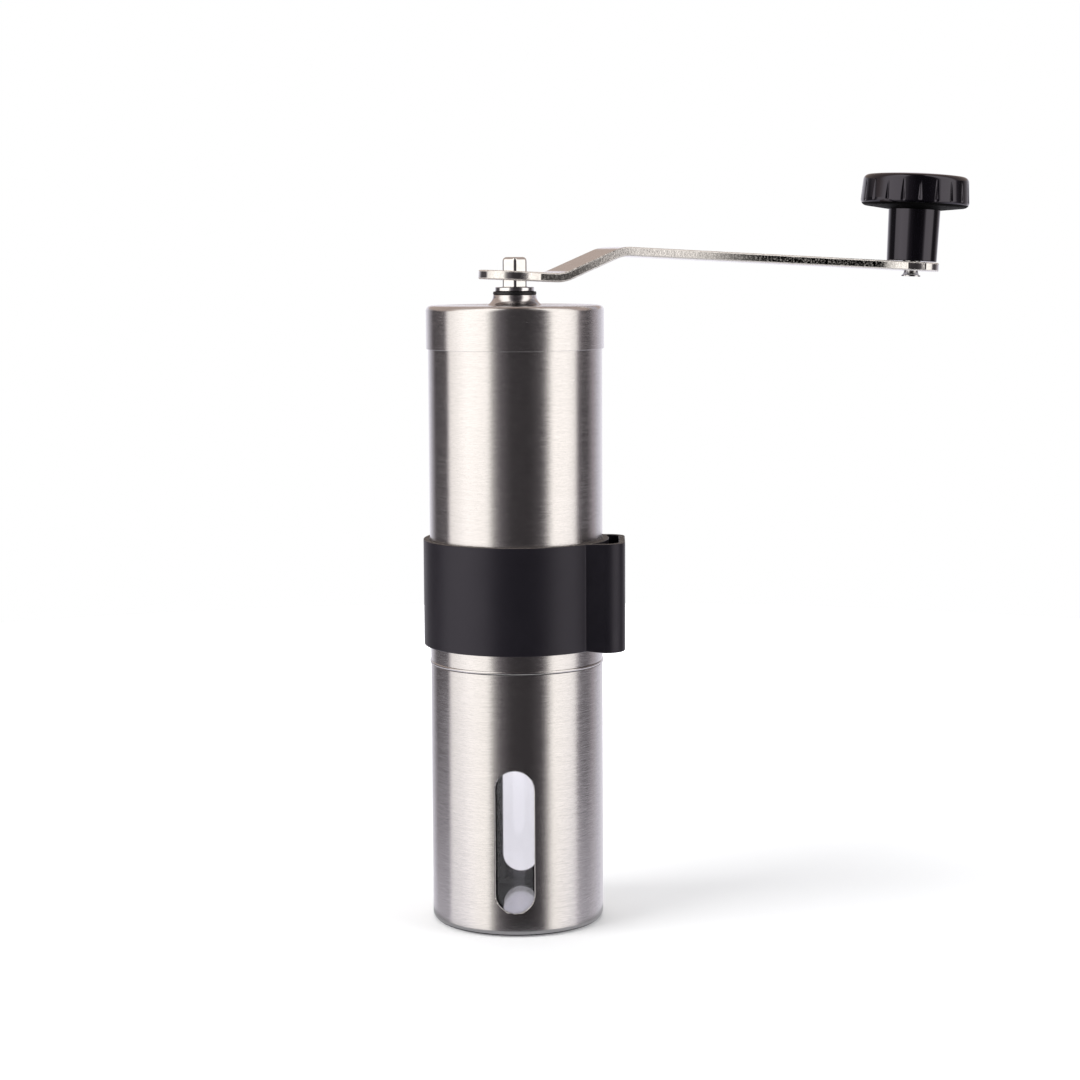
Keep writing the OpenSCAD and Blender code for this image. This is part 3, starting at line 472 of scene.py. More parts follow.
# Inside, the drawn wall is dull, and its dark colour is painted shade inside the cup. The pressed floor
# mirrors the wall. The tumbled edges of the slots catch a thin bright line.
shaded_inner_wall = bright_metal("drawn_steel_inside_painted_shade", "#2e2d32", rough=0.3, mark_mm=1.0, depth_mm=0.01)
drawn_floor = bright_metal("pressed_steel_floor", "#e6e4ea", rough=0.05, mark_mm=1.6, depth_mm=0.004)
tumbled_steel = bright_metal("tumbled_steel_edge", "#d6d4d6", rough=0.12, mark_mm=0.8, depth_mm=0.005)
catch = new_piece("catch_tube_steel", turned("catch_tube_steel", catch_outline), belt_polished_tube,
                  shaded_inner_wall, drawn_floor, tumbled_steel)
# Faces count the finishes from 0: the inside is 1 on its wall and 2 on its floor
for face in catch.data.polygons:
    out = math.hypot(face.center.x, face.center.y)
    if out < tube_r - 0.7 * tube_wall and face.center.z > 0.7 * tube_wall:
        face.material_index = 2 if face.normal.z > 0.7 else 1
slot_outline = (arc((0, slot_low + slot_h - slot_end), slot_end, 0, 180, 24)
                + arc((0, slot_low + slot_end), slot_end, 180, 360, 24))
punched(catch, [(x, -2 * tube_r, z) for x, z in slot_outline], (0, 4 * tube_r, 0))

# The slots' outer edges are rounded in full, the inner ones only a little
tumbled_round = 0.3 * mm
inner_share = 0.12
slot_edges = bmesh.new()
slot_edges.from_mesh(catch.data)
rounding_share = slot_edges.edges.layers.float.new("bevel_weight_edge")
for edge in slot_edges.edges:
    middle = (edge.verts[0].co + edge.verts[1].co) / 2
    at_slot = abs(middle.x) < 0.6 * slot_w and slot_low - mm < middle.z < slot_low + slot_h + mm
    if at_slot and edge.is_manifold and edge.calc_face_angle() > math.radians(50):
        outside = math.hypot(middle.x, middle.y) > tube_r - tube_wall / 2
        edge[rounding_share] = 1.0 if outside else inner_share
slot_edges.to_mesh(catch.data)
slot_edges.free()
tumbled = catch.modifiers.new("tumbled_edges", "BEVEL")
tumbled.width = tumbled_round
tumbled.segments = 4
tumbled.use_clamp_overlap = False
tumbled.material = catch.data.materials.find(tumbled_steel.name)
tumbled.limit_method = "WEIGHT"
smooth(catch, angle=50)
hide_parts("catch_tube")
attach(catch, "catch")

# Window liner. A clear cup of polystyrene, injection moulded, that slides into the catch tube and
# closes its slots. Its thick floor shows as a bright line low in the window.
liner_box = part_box("window_liner")
liner_r = liner_box[1].x
liner_seat = 0.05 * mm
liner_low, liner_top = liner_box[0].z + liner_seat, liner_box[1].z
liner_wall = 1.0 * mm
liner_floor = 3.7 * mm
liner_round = 1.6 * mm

# Polystyrene is clear and glossy. A faint haze of coffee oil, in patches, dulls what shows through.
clear_moulding = new_material("clear_polystyrene")
tree = clear_moulding.node_tree
spot = add(tree, "ShaderNodeTexCoord")
haze = add(tree, "ShaderNodeTexNoise",
           inputs={"Vector": spot.outputs["Object"], "Scale": 1 / (4.5 * mm), "Detail": 4.0})
dust = add(tree, "ShaderNodeMapRange", inputs={0: haze, 1: 0.35, 2: 0.75, 3: 0.015, 4: 0.07})
clear = add(tree, "ShaderNodeBsdfPrincipled", inputs={
    "Base Color": hex_colour("#eeedf1"), "Roughness": dust, "IOR": 1.59, "Transmission Weight": 1.0})
add(tree, "ShaderNodeOutputMaterial", inputs={"Surface": clear})

liner_outline = (
    [(0, liner_low)] + arc((liner_r - liner_round, liner_low + liner_round), liner_round, -90, 0, 8)
    + arc((liner_r - rim_round, liner_top - rim_round), rim_round, 0, 90, 3)
    + arc((liner_r - liner_wall + rim_round, liner_top - rim_round), rim_round, 90, 180, 3)
    + arc((liner_r - liner_round, liner_low + liner_floor + liner_round - liner_wall),
          liner_round - liner_wall, 0, -90, 6)
    + [(0, liner_low + liner_floor)]
)
liner = smooth(new_piece("liner_clear", turned("liner_clear", liner_outline), clear_moulding))
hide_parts("window_liner")
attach(liner, "catch")

# Lid. A stainless cap, spun thin and belt polished like the tube, with its neck turned out of the
# same steel. It slips over the tube's upper end and lifts off to fill the hopper.
lid_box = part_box("lid_cap")
lid_r = lid_box[1].x
lid_low, neck_top = lid_box[0].z, lid_box[1].z
lid_h = 11.6 * mm
lid_top = lid_low + lid_h
lid_wall = 0.4 * mm
lid_edge = 0.08 * mm
lid_top_t = 0.6 * mm
lid_round = 1.4 * mm
neck_r = 5.85 * mm
neck_flare = 2.4 * mm
neck_h = neck_top - lid_top
bush_hole_r = 4.35 * mm
flare = [(neck_r + neck_flare * (1 - math.cos(a)), neck_top - neck_h * math.sin(a))
         for a in (math.pi / 2 * i / 12 for i in range(13))]
neck_edge = 0.12 * mm
# A ring of points on the flat top and one up the wall keep the shading even
lid_flat = 6 * mm
lid_wall_share = 0.5
lid_outline = (
    [(bush_hole_r, neck_top)] + arc((neck_r - neck_edge, neck_top - neck_edge), neck_edge, 90, 10, 3)
    + flare[2:]
    + [(lid_r - lid_round - lid_flat, lid_top)]
    + arc((lid_r - lid_round, lid_top - lid_round), lid_round, 90, 0, 10)
    + [(lid_r, lid_low + lid_h * lid_wall_share)]
    + arc((lid_r - lid_edge, lid_low + lid_edge), lid_edge, 0, -90, 4)
    + arc((lid_r - lid_wall + lid_edge, lid_low + lid_edge), lid_edge, -90, -180, 4)
    + arc((lid_r - lid_round, lid_top - lid_round), lid_round - lid_wall, 0, 90, 8)
    + [(bush_hole_r, lid_top - lid_top_t)]
)
# The cap has the tube's belt lines. The neck is turned smoother, so its reflections are clearer.
belt_polished_lid = brushed_steel("belt_polished_stainless_lid", "#d2d0d1", rough=0.21, contrast=0.08)
turned_neck = bright_metal("turned_steel_neck", "#d4d2d3", rough=0.16, mark_mm=1.2, depth_mm=0.006)
lid = smooth(new_piece("lid_steel", turned("lid_steel", lid_outline), belt_polished_lid, turned_neck))
for face in lid.data.polygons:
    on_neck = math.hypot(face.center.x, face.center.y) < neck_r + neck_flare and face.center.z > lid_top
    face.material_index = 1 if on_neck else 0
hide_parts("lid_cap")
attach(lid, "lid")

# Neck washer. A flat ring of black acetal, injection moulded. The bush's flange clamps it on top of
# the lid's neck, where it keeps steel off steel.
washer_low, washer_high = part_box("neck_washer")[0].z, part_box("neck_washer")[1].z
washer_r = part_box("neck_washer")[1].x
washer_edge = 0.3 * mm
small_sides = 144

# Moulded acetal has a soft grey sheen. Its skin is finer than this, and is drawn to just show.
black_acetal = new_material("black_acetal")
tree = black_acetal.node_tree
spot = add(tree, "ShaderNodeTexCoord")
pitted = add(tree, "ShaderNodeTexNoise",
             inputs={"Vector": spot.outputs["Object"], "Scale": 1 / (0.38 * mm), "Detail": 3.0})
sheen = add(tree, "ShaderNodeMapRange", inputs={0: pitted, 1: 0.3, 2: 0.7, 3: 0.32, 4: 0.5})
pits = add(tree, "ShaderNodeBump", inputs={"Strength": 0.25, "Distance": 0.02 * mm, "Height": pitted})
moulded = add(tree, "ShaderNodeBsdfPrincipled", inputs={
    "Base Color": hex_colour("#1b1b1d"), "Roughness": sheen, "IOR": 1.48, "Normal": pits})
add(tree, "ShaderNodeOutputMaterial", inputs={"Surface": moulded})

washer_outline = (
    [(bush_hole_r, washer_low)]
    + arc((washer_r - washer_edge, washer_low + washer_edge), washer_edge, -90, 0, 5)
    + arc((washer_r - washer_edge, washer_high - washer_edge), washer_edge, 0, 90, 5)
    + [(bush_hole_r, washer_high)]
)
washer = smooth(new_piece("neck_washer_black", turned("neck_washer_black", washer_outline, small_sides),
                          black_acetal))
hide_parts("neck_washer")
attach(washer, "lid")

# Lid bush. A turned steel sleeve with bright chrome plate, which mirrors the studio sharply. Its
# flange sits on the washer, and its lower end is swaged outward under the lid to hold it.
chrome_plate = bright_metal("bright_chrome_plate", "#dcdcde", rough=0.06, mark_mm=1.4, depth_mm=0.006)
bush_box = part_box("lid_bush")
bush_low, bush_top = bush_box[0].z, bush_box[1].z
bush_bore_r = 3.65 * mm
bush_r = 4.3 * mm
flange_r = 5.3 * mm
flange_t = 1.2 * mm
flange_edge = 0.25 * mm
swage_r = bush_box[1].x
swage_h = 1.0 * mm
swage_edge = 0.4 * mm
bush_outline = (
    [(bush_bore_r, bush_low)] + arc((swage_r - swage_edge, bush_low + swage_edge), swage_edge, -90, 0, 4)
    + [(swage_r, bush_low + swage_h), (bush_r, bush_low + swage_h), (bush_r, bush_top - flange_t)]
    + arc((flange_r - flange_edge, bush_top - flange_t + flange_edge), flange_edge, -90, 0, 4)
    + arc((flange_r - flange_edge, bush_top - flange_edge), flange_edge, 0, 90, 4)
    + [(bush_bore_r, bush_top)]
)
bush = smooth(new_piece("lid_bush_chrome", turned("lid_bush_chrome", bush_outline, small_sides),
                        chrome_plate))
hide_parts("lid_bush")
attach(bush, "lid")


# Drive shaft. One bar of stainless steel, turned and polished bright, with two flats milled for the
# burr, a thread on its lower end, and a five-sided head that drives the crank. The head's corners
# and top edge are rounded, and it reaches down to the bush's flange.
def own_mesh(node, name):
    """A copy of a node's mesh with its points joined and its flat faces whole again."""
    joined_within = 0.0005 * mm
    flat_within = math.radians(0.4)
    made = bmesh.new()
    made.from_mesh(frame["nodes"][node].data)
    bmesh.ops.remove_doubles(made, verts=made.verts, dist=joined_within)
    bmesh.ops.dissolve_limit(made, angle_limit=flat_within, verts=made.verts, edges=made.edges)
    data = finished(made, name)
    data.materials.clear()
    return data


def eased(made, width, segments, angle):
    """Rounds over the edges that are sharper than the angle, and returns the modifier that does it."""
    rounding = made.modifiers.new("eased_edges", "BEVEL")
    rounding.width = width
    rounding.segments = segments
    rounding.limit_method = "ANGLE"
    rounding.angle_limit = math.radians(angle)
    return rounding


polished_shaft = bright_metal("polished_stainless_shaft", "#d8d8d9", rough=0.07, mark_mm=2.0, depth_mm=0.004)
shaft_mesh = own_mesh("drive_shaft", "drive_shaft_steel")
arm_turn = math.radians(21.5)
head_corners = 5
half_step = math.pi / head_corners
head_turn = arm_turn + half_step
shaft_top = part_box("drive_shaft")[1].z
journal_top = bush_top + 0.1 * mm
head_r = 3.62 * mm
corner_round = 1.15 * mm
top_round = 1.1 * mm
head_low = journal_top - 0.3 * mm
corner_out = head_r - corner_round / math.cos(half_step)
milled_round = 0.3 * mm
made = bmesh.new()
made.from_mesh(shaft_mesh)
bmesh.ops.bisect_plane(made, geom=made.verts[:] + made.edges[:] + made.faces[:],
                       plane_co=(0, 0, journal_top), plane_no=(0, 0, 1), clear_outer=True)
open_rim = [edge for edge in made.edges if edge.is_boundary]
bmesh.ops.holes_fill(made, edges=open_rim)
# The head is drawn as rings of points: two round its straight sides, the others over its top edge
rings = []
for inset, height in [(0, head_low)] + arc((top_round, shaft_top - top_round), top_round, 180, 90):
    outline = []
    for corner in range(head_corners):
        middle = head_turn + corner * 2 * half_step
        centre = (corner_out * math.cos(middle), corner_out * math.sin(middle))
        outline += arc(centre, corner_round - inset, math.degrees(middle - half_step),
                       math.degrees(middle + half_step), 10)
    rings.append([made.verts.new((x, y, height)) for x, y in outline])
skin(made, rings)
made.faces.new(rings[-1])
bmesh.ops.recalc_face_normals(made, faces=made.faces)
made.to_mesh(shaft_mesh)
made.free()
shaft = new_piece("drive_shaft_steel", shaft_mesh, polished_shaft)
eased(shaft, milled_round, segments=3, angle=50)
smooth(shaft, angle=40)
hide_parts("drive_shaft")
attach(shaft, "shaft")

# Crank arm. A flat steel bar with a round eye at its end, stamped out and bent twice. It is polished
# along its length, which streaks its reflections. The punch leaves the long cut edges torn, and they
# are drawn mottled, and darker in places. Tumbling rolls the corners over, and their bright satin
# colour is a painted highlight line.
arm_len = 120 * mm
eye_r = 7.8 * mm
waist_start = (12 * mm, 8.9 * mm)
waist_end = 6.5 * mm
waste = 14 * mm
punch_reach = 50 * mm
rolled_round = 0.42 * mm
bar_span = 125 * mm
polished_bar = bright_metal("polished_steel_bar", "#d2d0cf", rough=0.1, mark_mm=2.5, depth_mm=0.006,
                            lines=(11, 0.35, arm_turn))
torn_edge = new_material("stamped_steel_edge")
tree = torn_edge.node_tree
spot = add(tree, "ShaderNodeTexCoord")
tear_size = (1 / (0.42 * mm), 1 / (0.42 * mm), 1 / (0.6 * mm))
stretched = add(tree, "ShaderNodeVectorMath", {"operation": "MULTIPLY"},
                {0: spot.outputs["Object"], 1: tear_size})
tears = add(tree, "ShaderNodeTexNoise",
            inputs={"Vector": stretched, "Scale": 1.0, "Detail": 5.0, "Roughness": 0.65})
place = add(tree, "ShaderNodeSeparateXYZ", inputs={0: spot.outputs["Object"]})
along_bar = add(tree, "ShaderNodeMapRange",
                inputs={0: place.outputs["X"], 1: 0.0, 2: bar_span, 3: 0.0, 4: 1.0})
# Where the cut edge is drawn darker, as (distance along X in mm, share of it)
dark_places = [(6.8, 0.0), (7.4, 0.9), (17, 0.8), (21, 0.55), (26, 0.18), (31, 0.03), (45, 0.03),
                (53, 0.4), (60, 0.8), (67, 1.0), (102.5, 1.0), (104.5, 0.5), (107, 0.15)]
dark_share = add(tree, "ShaderNodeValToRGB", inputs={0: along_bar})
set_stops(dark_share, [(distance * mm / bar_span, (share, share, share, 1)) for distance, share in dark_places])
# The edge's tone: a lighter mottle, and a darker one where the share above is high
light_mottle = add(tree, "ShaderNodeMapRange", inputs={0: tears, 1: 0.38, 2: 0.6, 3: 0.95, 4: 1.35})
dark_mottle = add(tree, "ShaderNodeMapRange", inputs={0: tears, 1: 0.5, 2: 0.74, 3: 0.0, 4: 0.55})
edge_tone = add(tree, "ShaderNodeMix", {"data_type": "FLOAT"}, {0: dark_share, 2: light_mottle, 3: dark_mottle})
rugged = add(tree, "ShaderNodeBump", inputs={"Strength": 0.5, "Distance": 0.06 * mm, "Height": tears})
metal_tone = add(tree, "ShaderNodeVectorMath", {"operation": "SCALE"},
                 {0: hex_colour("#d8d6d5")[:3], "Scale": edge_tone.outputs[0]})
metal = add(tree, "ShaderNodeBsdfPrincipled", inputs={
    "Base Color": metal_tone, "Metallic": 1.0, "Roughness": 0.2, "Normal": rugged})
add(tree, "ShaderNodeOutputMaterial", inputs={"Surface": metal})
# The rolled corners' pale satin colour is a painted highlight: a bright line along the bar's edges
highlit_corner = bright_metal("satin_corner_painted_highlight", "#f0eeed", rough=0.5, mark_mm=0.8, depth_mm=0.005)
arm = new_piece("crank_arm_steel", own_mesh("crank_arm", "crank_arm_steel"),
                polished_bar, torn_edge, highlit_corner)

# The bar narrows to a slight waist before its eye. What lies outside that is punched away.
eye_start = 180 - math.degrees(math.asin(waist_end / eye_r))
waste_plan = ([waist_start] + arc((arm_len, 0), eye_r, eye_start, 90, 10)
              + [(arm_len + eye_r / 4, waste), (waist_start[0], waste)])
to_bar = Matrix.Rotation(arm_turn, 3, "Z")
for side in (-1, 1):
    outline = [to_bar @ Vector((x, side * y, shaft_top - punch_reach)) for x, y in waste_plan]
    punched(arm, outline, (0, 0, 2 * punch_reach))
bar_side = Vector((math.sin(arm_turn), -math.cos(arm_turn), 0))
for face in arm.data.polygons:
    on_side = abs(face.normal.dot(bar_side)) > 0.99 and abs(face.normal.z) < 0.3
    face.material_index = 1 if on_side and face.center.x < (arm_len - eye_r) * math.cos(arm_turn) else 0
rolled = eased(arm, rolled_round, segments=4, angle=40)
rolled.use_clamp_overlap = False
rolled.material = arm.data.materials.find(highlit_corner.name)
smooth(arm, angle=40)
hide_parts("crank_arm")
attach(arm, "crank")

# Knob pin. A shouldered rivet of plain bright steel, softly shiny. The knob turns on its shoulder,
# and its hollow lower end is flared over under the arm.
plain_steel = bright_metal("plain_bright_steel", "#c9c9cb", rough=0.16, mark_mm=0.8, depth_mm=0.01)
pin = new_piece("knob_pin_steel", own_mesh("knob_pin", "knob_pin_steel"), plain_steel)
smooth(pin, angle=40)
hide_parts("knob_pin")
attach(pin, "crank")

# Knob. Black phenolic, compression moulded in two parts: a sleeve that turns on the pin and a
# crowned head pressed over it, with narrow finger flutes that open toward the lower rim. The
# polished mould leaves it glossy, so it shows the lamps as sharp lights on black.
phenolic = new_material("glossy_black_phenolic")
tree = phenolic.node_tree
spot = add(tree, "ShaderNodeTexCoord")
flow = add(tree, "ShaderNodeTexNoise",
           inputs={"Vector": spot.outputs["Object"], "Scale": 1 / (3.1 * mm), "Detail": 4.0})
shine = add(tree, "ShaderNodeMapRange", inputs={0: flow, 1: 0.3, 2: 0.7, 3: 0.04, 4: 0.08})
peel = add(tree, "ShaderNodeBump", inputs={"Strength": 0.12, "Distance": 0.02 * mm, "Height": flow})
glossy = add(tree, "ShaderNodeBsdfPrincipled", inputs={
    "Base Color": hex_colour("#060508"), "Roughness": shine, "IOR": 1.6,
    "Specular Tint": hex_colour("#f2ecff"), "Normal": peel})
add(tree, "ShaderNodeOutputMaterial", inputs={"Surface": glossy})

# Underneath, on faces that point down, the head is matt and nearly without reflections: painted shade
underside_shade_phenolic = new_material("matt_black_phenolic_painted_shade")
tree = underside_shade_phenolic.node_tree
spot = add(tree, "ShaderNodeTexCoord")
grit = add(tree, "ShaderNodeTexNoise",
           inputs={"Vector": spot.outputs["Object"], "Scale": 1 / (0.42 * mm), "Detail": 3.0})
dull = add(tree, "ShaderNodeMapRange", inputs={0: grit, 1: 0.3, 2: 0.7, 3: 0.5, 4: 0.7})
matt = add(tree, "ShaderNodeBsdfPrincipled", inputs={
    "Base Color": hex_colour("#040404"), "Roughness": dull, "Specular IOR Level": 0.03})
add(tree, "ShaderNodeOutputMaterial", inputs={"Surface": matt})

arm_droop = math.radians(2.9)
knob_joint = next(j for j in frame["joints"] if j["name"] == "knob_spin")
knob_place = (
    Matrix.Translation(Vector(knob_joint["pos_m"]))
    @ Matrix.Rotation(arm_turn, 4, "Z")
    @ Matrix.Rotation(arm_droop, 4, "Y")
)
stem_low = 0.2 * mm
stem_high = 16.2 * mm
stem_low_r = 7.1 * mm
stem_high_r = 7.35 * mm
pin_hole_r = 2.65 * mm
stem_edge = 0.25 * mm
stem_outline = (
    [(pin_hole_r, stem_low)] + arc((stem_low_r - stem_edge, stem_low + stem_edge), stem_edge, -90, 0, 4)
    + [((stem_low_r + stem_high_r) / 2, (stem_low + stem_high) / 2),
       (stem_high_r, stem_high), (pin_hole_r, stem_high)]
)
stem_mesh = turned("knob_stem_black", stem_outline, small_sides)
stem_mesh.transform(knob_place)
stem = smooth(new_piece("knob_stem_black", stem_mesh, phenolic))
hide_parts("knob_stem")
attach(stem, "knob")

knob_low = 14.8 * mm
rim_low = 15.6 * mm
rim_high = rim_low + 8.8 * mm
crown_h = 0.8 * mm
rim_r = 15.35 * mm
rim_top_r = rim_r - 0.4 * mm
edge_r = 1.6 * mm
stem_gap = 0.05 * mm
stem_socket = 2.8 * mm
flutes = 20
flute_sides = 40
flute_depth = 0.45 * mm
flute_half = 0.6 * mm
flute_turn = math.radians(-5.5)
flute_fade = 0.8
flute_top_share = 0.4
flute_low = rim_low + edge_r
flute_high = rim_high - edge_r
crown_run = rim_top_r - edge_r
crown_r = (crown_run**2 + crown_h**2) / (2 * crown_h)
crown_span = math.degrees(math.asin(crown_run / crown_r))
crown_share = 0.93
rim_arc = 75
rim_rows = 14
underside_shares = (0.33, 0.67)
head_outline = (
    [(stem_high_r + stem_gap, knob_low + stem_socket), (stem_high_r + stem_gap, knob_low)]
    + [(stem_high_r + (rim_r - edge_r - stem_high_r) * share, knob_low + (rim_low - knob_low) * share)
       for share in underside_shares]
    + arc((rim_r - edge_r, rim_low + edge_r), edge_r, -90, 0, 8)
    + [(rim_r + (rim_top_r - rim_r) * share, flute_low + (flute_high - flute_low) * share)
       for share in (i / rim_rows for i in range(1, rim_rows))]
    + arc((rim_top_r - edge_r, rim_high - edge_r), edge_r, 0, rim_arc, 8)
    + arc((0, rim_high + crown_h - crown_r), crown_r, 90 - crown_span * crown_share, 90, 10)[:-1]
    + [(0, rim_high + crown_h), (0, knob_low + stem_socket)]
)
head_mesh = turned("knob_head_black", head_outline, flute_sides * flutes)

# Each flute is a vee, deepest and widest at the lower rim
step = 2 * math.pi / flutes
for point in head_mesh.vertices:
    radius = math.hypot(point.co.x, point.co.y)
    if radius < crown_run or point.co.z < rim_low:
        continue
    rise = (point.co.z - flute_low) / (flute_high - flute_low)
    if not -0.02 < rise < 1:
        continue
    around = math.atan2(point.co.y, point.co.x) - flute_turn
    off = abs(around - step * round(around / step)) * radius
    reach = flute_half * (1 - (1 - flute_top_share) * rise)
    dip = flute_depth * (1 - rise) ** flute_fade * max(0, 1 - off / reach)
    point.co.x *= 1 - dip / radius
    point.co.y *= 1 - dip / radius
head_mesh.transform(knob_place)
head = smooth(new_piece("knob_head_black", head_mesh, phenolic, underside_shade_phenolic), angle=60)
# Faces that point down take the matt black, which is painted shade under the head
facing_down = -0.55
for face in head.data.polygons:
    face.material_index = 1 if face.normal.z < facing_down else 0
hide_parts("knob_head")
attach(head, "knob")

# Crank band. Moulded silicone rubber, stretched over the tube. Its loop at the side takes the crank
# arm when the grinder is packed away. The satin skin spreads each lamp to a broad grey sheen, and
# its grain is drawn coarser than the real one.
silicone = new_material("satin_black_silicone")
tree = silicone.node_tree
spot = add(tree, "ShaderNodeTexCoord")
grit = add(tree, "ShaderNodeTexNoise",
           inputs={"Vector": spot.outputs["Object"], "Scale": 1 / (0.31 * mm), "Detail": 2.0})
cloud = add(tree, "ShaderNodeTexNoise",
            inputs={"Vector": spot.outputs["Object"], "Scale": 1 / (11 * mm), "Detail": 3.0})
satin = add(tree, "ShaderNodeMapRange", inputs={0: cloud, 1: 0.3, 2: 0.7, 3: 0.34, 4: 0.42})
dusty = add(tree, "ShaderNodeMix", {"data_type": "RGBA"},
            {0: cloud, 6: hex_colour("#16141a"), 7: hex_colour("#1b191f")})
grained = add(tree, "ShaderNodeBump", inputs={"Strength": 0.2, "Distance": 0.02 * mm, "Height": grit})
rubber = add(tree, "ShaderNodeBsdfPrincipled", inputs={
    "Base Color": dusty.outputs[2], "Roughness": satin, "IOR": 1.43, "Specular Tint": hex_colour("#f3eeff"),
    "Normal": grained})
add(tree, "ShaderNodeOutputMaterial", inputs={"Surface": rubber})

# The knife leaves the band's two edges a little ragged, and they are drawn paler
cut_silicone = new_material("knife_cut_silicone")
tree = cut_silicone.node_tree
spot = add(tree, "ShaderNodeTexCoord")
ragged = add(tree, "ShaderNodeTexNoise",
             inputs={"Vector": spot.outputs["Object"], "Scale": 1 / (0.67 * mm), "Detail": 3.0})
pale = add(tree, "ShaderNodeMapRange", inputs={0: ragged, 1: 0.3, 2: 0.75, 3: 0.0, 4: 1.0})
edge_tint = add(tree, "ShaderNodeMix", {"data_type": "RGBA"},
                {0: pale, 6: hex_colour("#2a2728"), 7: hex_colour("#716963")})
rough_cut = add(tree, "ShaderNodeBump", inputs={"Strength": 0.5, "Distance": 0.05 * mm, "Height": ragged})
cut_rubber = add(tree, "ShaderNodeBsdfPrincipled", inputs={
    "Base Color": edge_tint.outputs[2], "Roughness": 0.75, "IOR": 1.43, "Normal": rough_cut})
add(tree, "ShaderNodeOutputMaterial", inputs={"Surface": cut_rubber})

band_low, band_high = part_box("crank_band")[0].z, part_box("crank_band")[1].z
band_r = -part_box("crank_band")[0].x
loop_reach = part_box("crank_band")[1].x
band_t = 1.7 * mm
band_bore_r = band_r - band_t
loop_front_y = -16.3 * mm
loop_drop = 0.5 * mm
drop_run = 4 * mm
front_corner_r = 5.6 * mm
rear_corner_r = 4.0 * mm
loop_rear_y = 8.2 * mm
band_edge = 0.22 * mm


def strap(inset):
    """The loop's strap from its front end round to the ring again, drawn in by the inset."""
    front = (loop_reach - front_corner_r, loop_front_y + front_corner_r)
    rear = (loop_reach - rear_corner_r, loop_rear_y - rear_corner_r)
    return arc(front, front_corner_r - inset, -90, 0, 16) + arc(rear, rear_corner_r - inset, 0, 90, 14)


def ring_arc(radius, start, stop, steps):
    """Points on a circle about the shaft from one point's bearing round to another's, anticlockwise."""
    first, last = math.atan2(start[1], start[0]), math.atan2(stop[1], stop[0])
    if last <= first:
        last += 2 * math.pi
    return arc((0, 0), radius, math.degrees(first), math.degrees(last), steps)


rear_join = (math.sqrt(band_r**2 - loop_rear_y**2), loop_rear_y)
front_join = (math.sqrt(band_r**2 - loop_front_y**2), loop_front_y)
outer_plan = ring_arc(band_r, rear_join, front_join, 200) + strap(0)
bore_plan = arc((0, 0), band_bore_r, 0, 360, 240)[:-1]
hollow_rear_y = loop_rear_y - band_t
hollow_front_y = loop_front_y + band_t
hollow_join = (math.sqrt(band_r**2 - hollow_rear_y**2), hollow_rear_y)
hollow_start = (math.sqrt(band_r**2 - hollow_front_y**2), hollow_front_y)
hollow_plan = strap(band_t) + ring_arc(band_r, hollow_start, hollow_join, 60)[::-1]

# Each of the three walls is drawn as rings of points, set in over the rounded lower and upper edges
quarter = [math.pi / 8 * i for i in range(5)]
rows = [(band_edge * (1 - math.sin(a)), band_low + band_edge * (1 - math.cos(a))) for a in quarter]
rows += [(band_edge * (1 - math.cos(a)), band_high - band_edge * (1 - math.sin(a))) for a in quarter]
band_mesh = bmesh.new()
cut_rims = ([], [])
for plan, side in ((outer_plan, 1), (bore_plan, -1), (hollow_plan, -1)):
    count = len(plan)
    turned_left = sum(plan[i][0] * plan[(i + 1) % count][1] - plan[(i + 1) % count][0] * plan[i][1]
                      for i in range(count)) > 0
    outward = []
    for i in range(count):
        ahead = Vector(plan[(i + 1) % count]) - Vector(plan[i - 1])
        away = Vector((ahead.y, -ahead.x)).normalized()
        outward.append(away * side * (1 if turned_left else -1))
    rings = [[band_mesh.verts.new((*(Vector(point) - away * inset), height))
              for point, away in zip(plan, outward)] for inset, height in rows]
    skin(band_mesh, rings)
    for rim, ring in zip(cut_rims, (rings[0], rings[-1])):
        rim += [band_mesh.edges.get((ring[i], ring[(i + 1) % count])) for i in range(count)]
for rim in cut_rims:
    bmesh.ops.triangle_fill(band_mesh, use_beauty=True, edges=rim)
bmesh.ops.recalc_face_normals(band_mesh, faces=band_mesh.faces)
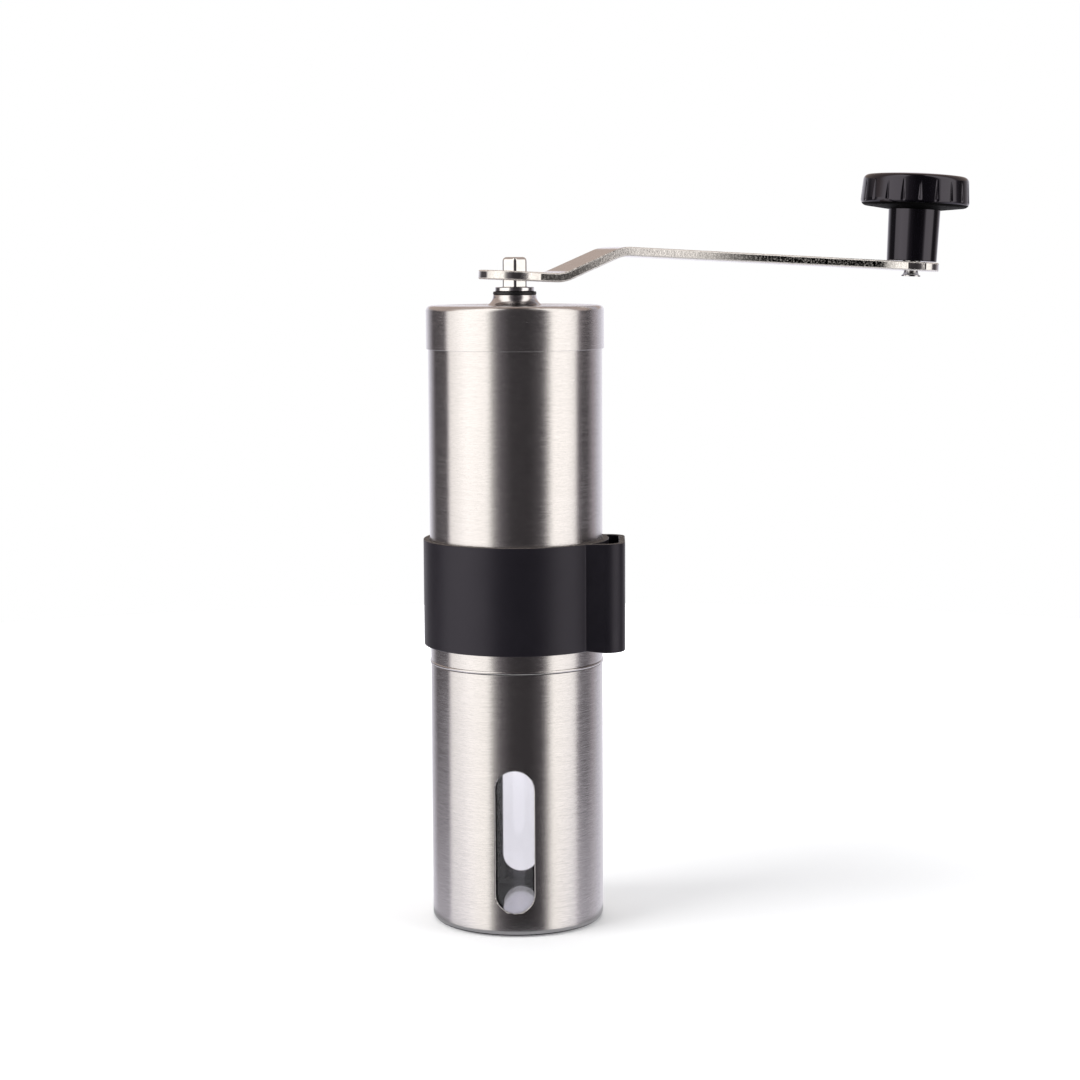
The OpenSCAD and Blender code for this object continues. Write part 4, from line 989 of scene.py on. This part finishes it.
# In front, the strap's lower edge droops a little, by an eased step out from the tube
for point in band_mesh.verts:
    share = min(1.0, max(0.0, (point.co.x - front_join[0]) / drop_run))
    if point.co.z < (band_low + band_high) / 2 and point.co.y < 0:
        point.co.z -= loop_drop * share**2 * (3 - 2 * share)
band = new_piece("crank_band_silicone", finished(band_mesh, "crank_band_silicone"), silicone, cut_silicone)
for face in band.data.polygons:
    face.material_index = 1 if abs(face.normal.z) > 0.9 else 0
smooth(band, angle=50)
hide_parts("crank_band")
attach(band, "band")

# Inner pieces. The bracket, housing, retainer, core and adjuster knob are moulded black acetal, the
# shaft's bush is sintered bronze, dull and brown with oil, the spigot's seal is silicone, and the
# small fixings are plain steel. The two burrs are fired alumina: off-white, matt and a little stained.
alumina = new_material("fired_alumina")
tree = alumina.node_tree
spot = add(tree, "ShaderNodeTexCoord")
grains = add(tree, "ShaderNodeTexNoise",
             inputs={"Vector": spot.outputs["Object"], "Scale": 1 / (0.56 * mm), "Detail": 4.0})
stain = add(tree, "ShaderNodeTexNoise",
            inputs={"Vector": spot.outputs["Object"], "Scale": 1 / (8.3 * mm), "Detail": 3.0})
fired = add(tree, "ShaderNodeMix", {"data_type": "RGBA"},
            {0: stain, 6: hex_colour("#efece4"), 7: hex_colour("#d8cfbf")})
rough_face = add(tree, "ShaderNodeBump", inputs={"Strength": 0.4, "Distance": 0.03 * mm, "Height": grains})
ceramic = add(tree, "ShaderNodeBsdfPrincipled", inputs={
    "Base Color": fired.outputs[2], "Roughness": 0.62, "IOR": 1.76, "Normal": rough_face})
add(tree, "ShaderNodeOutputMaterial", inputs={"Surface": ceramic})
oily_bronze = bright_metal("oily_sintered_bronze", "#b5895a", rough=0.32, mark_mm=0.3, depth_mm=0.02)
inner_finish = {
    "bearing_bracket": black_acetal, "shaft_bush": oily_bronze, "thrust_washer": plain_steel,
    "shaft_clip": plain_steel, "burr_spring": plain_steel, "burr_housing": black_acetal,
    "ring_burr": alumina, "burr_retainer": black_acetal, "retainer_screws": plain_steel,
    "spigot_seal": silicone, "conical_burr": alumina, "burr_core": black_acetal,
    "adjuster_knob": black_acetal, "adjuster_nut": plain_steel,
}
for name, finish in inner_finish.items():
    inner = frame["nodes"][name].data
    inner.materials.clear()
    inner.materials.append(finish)
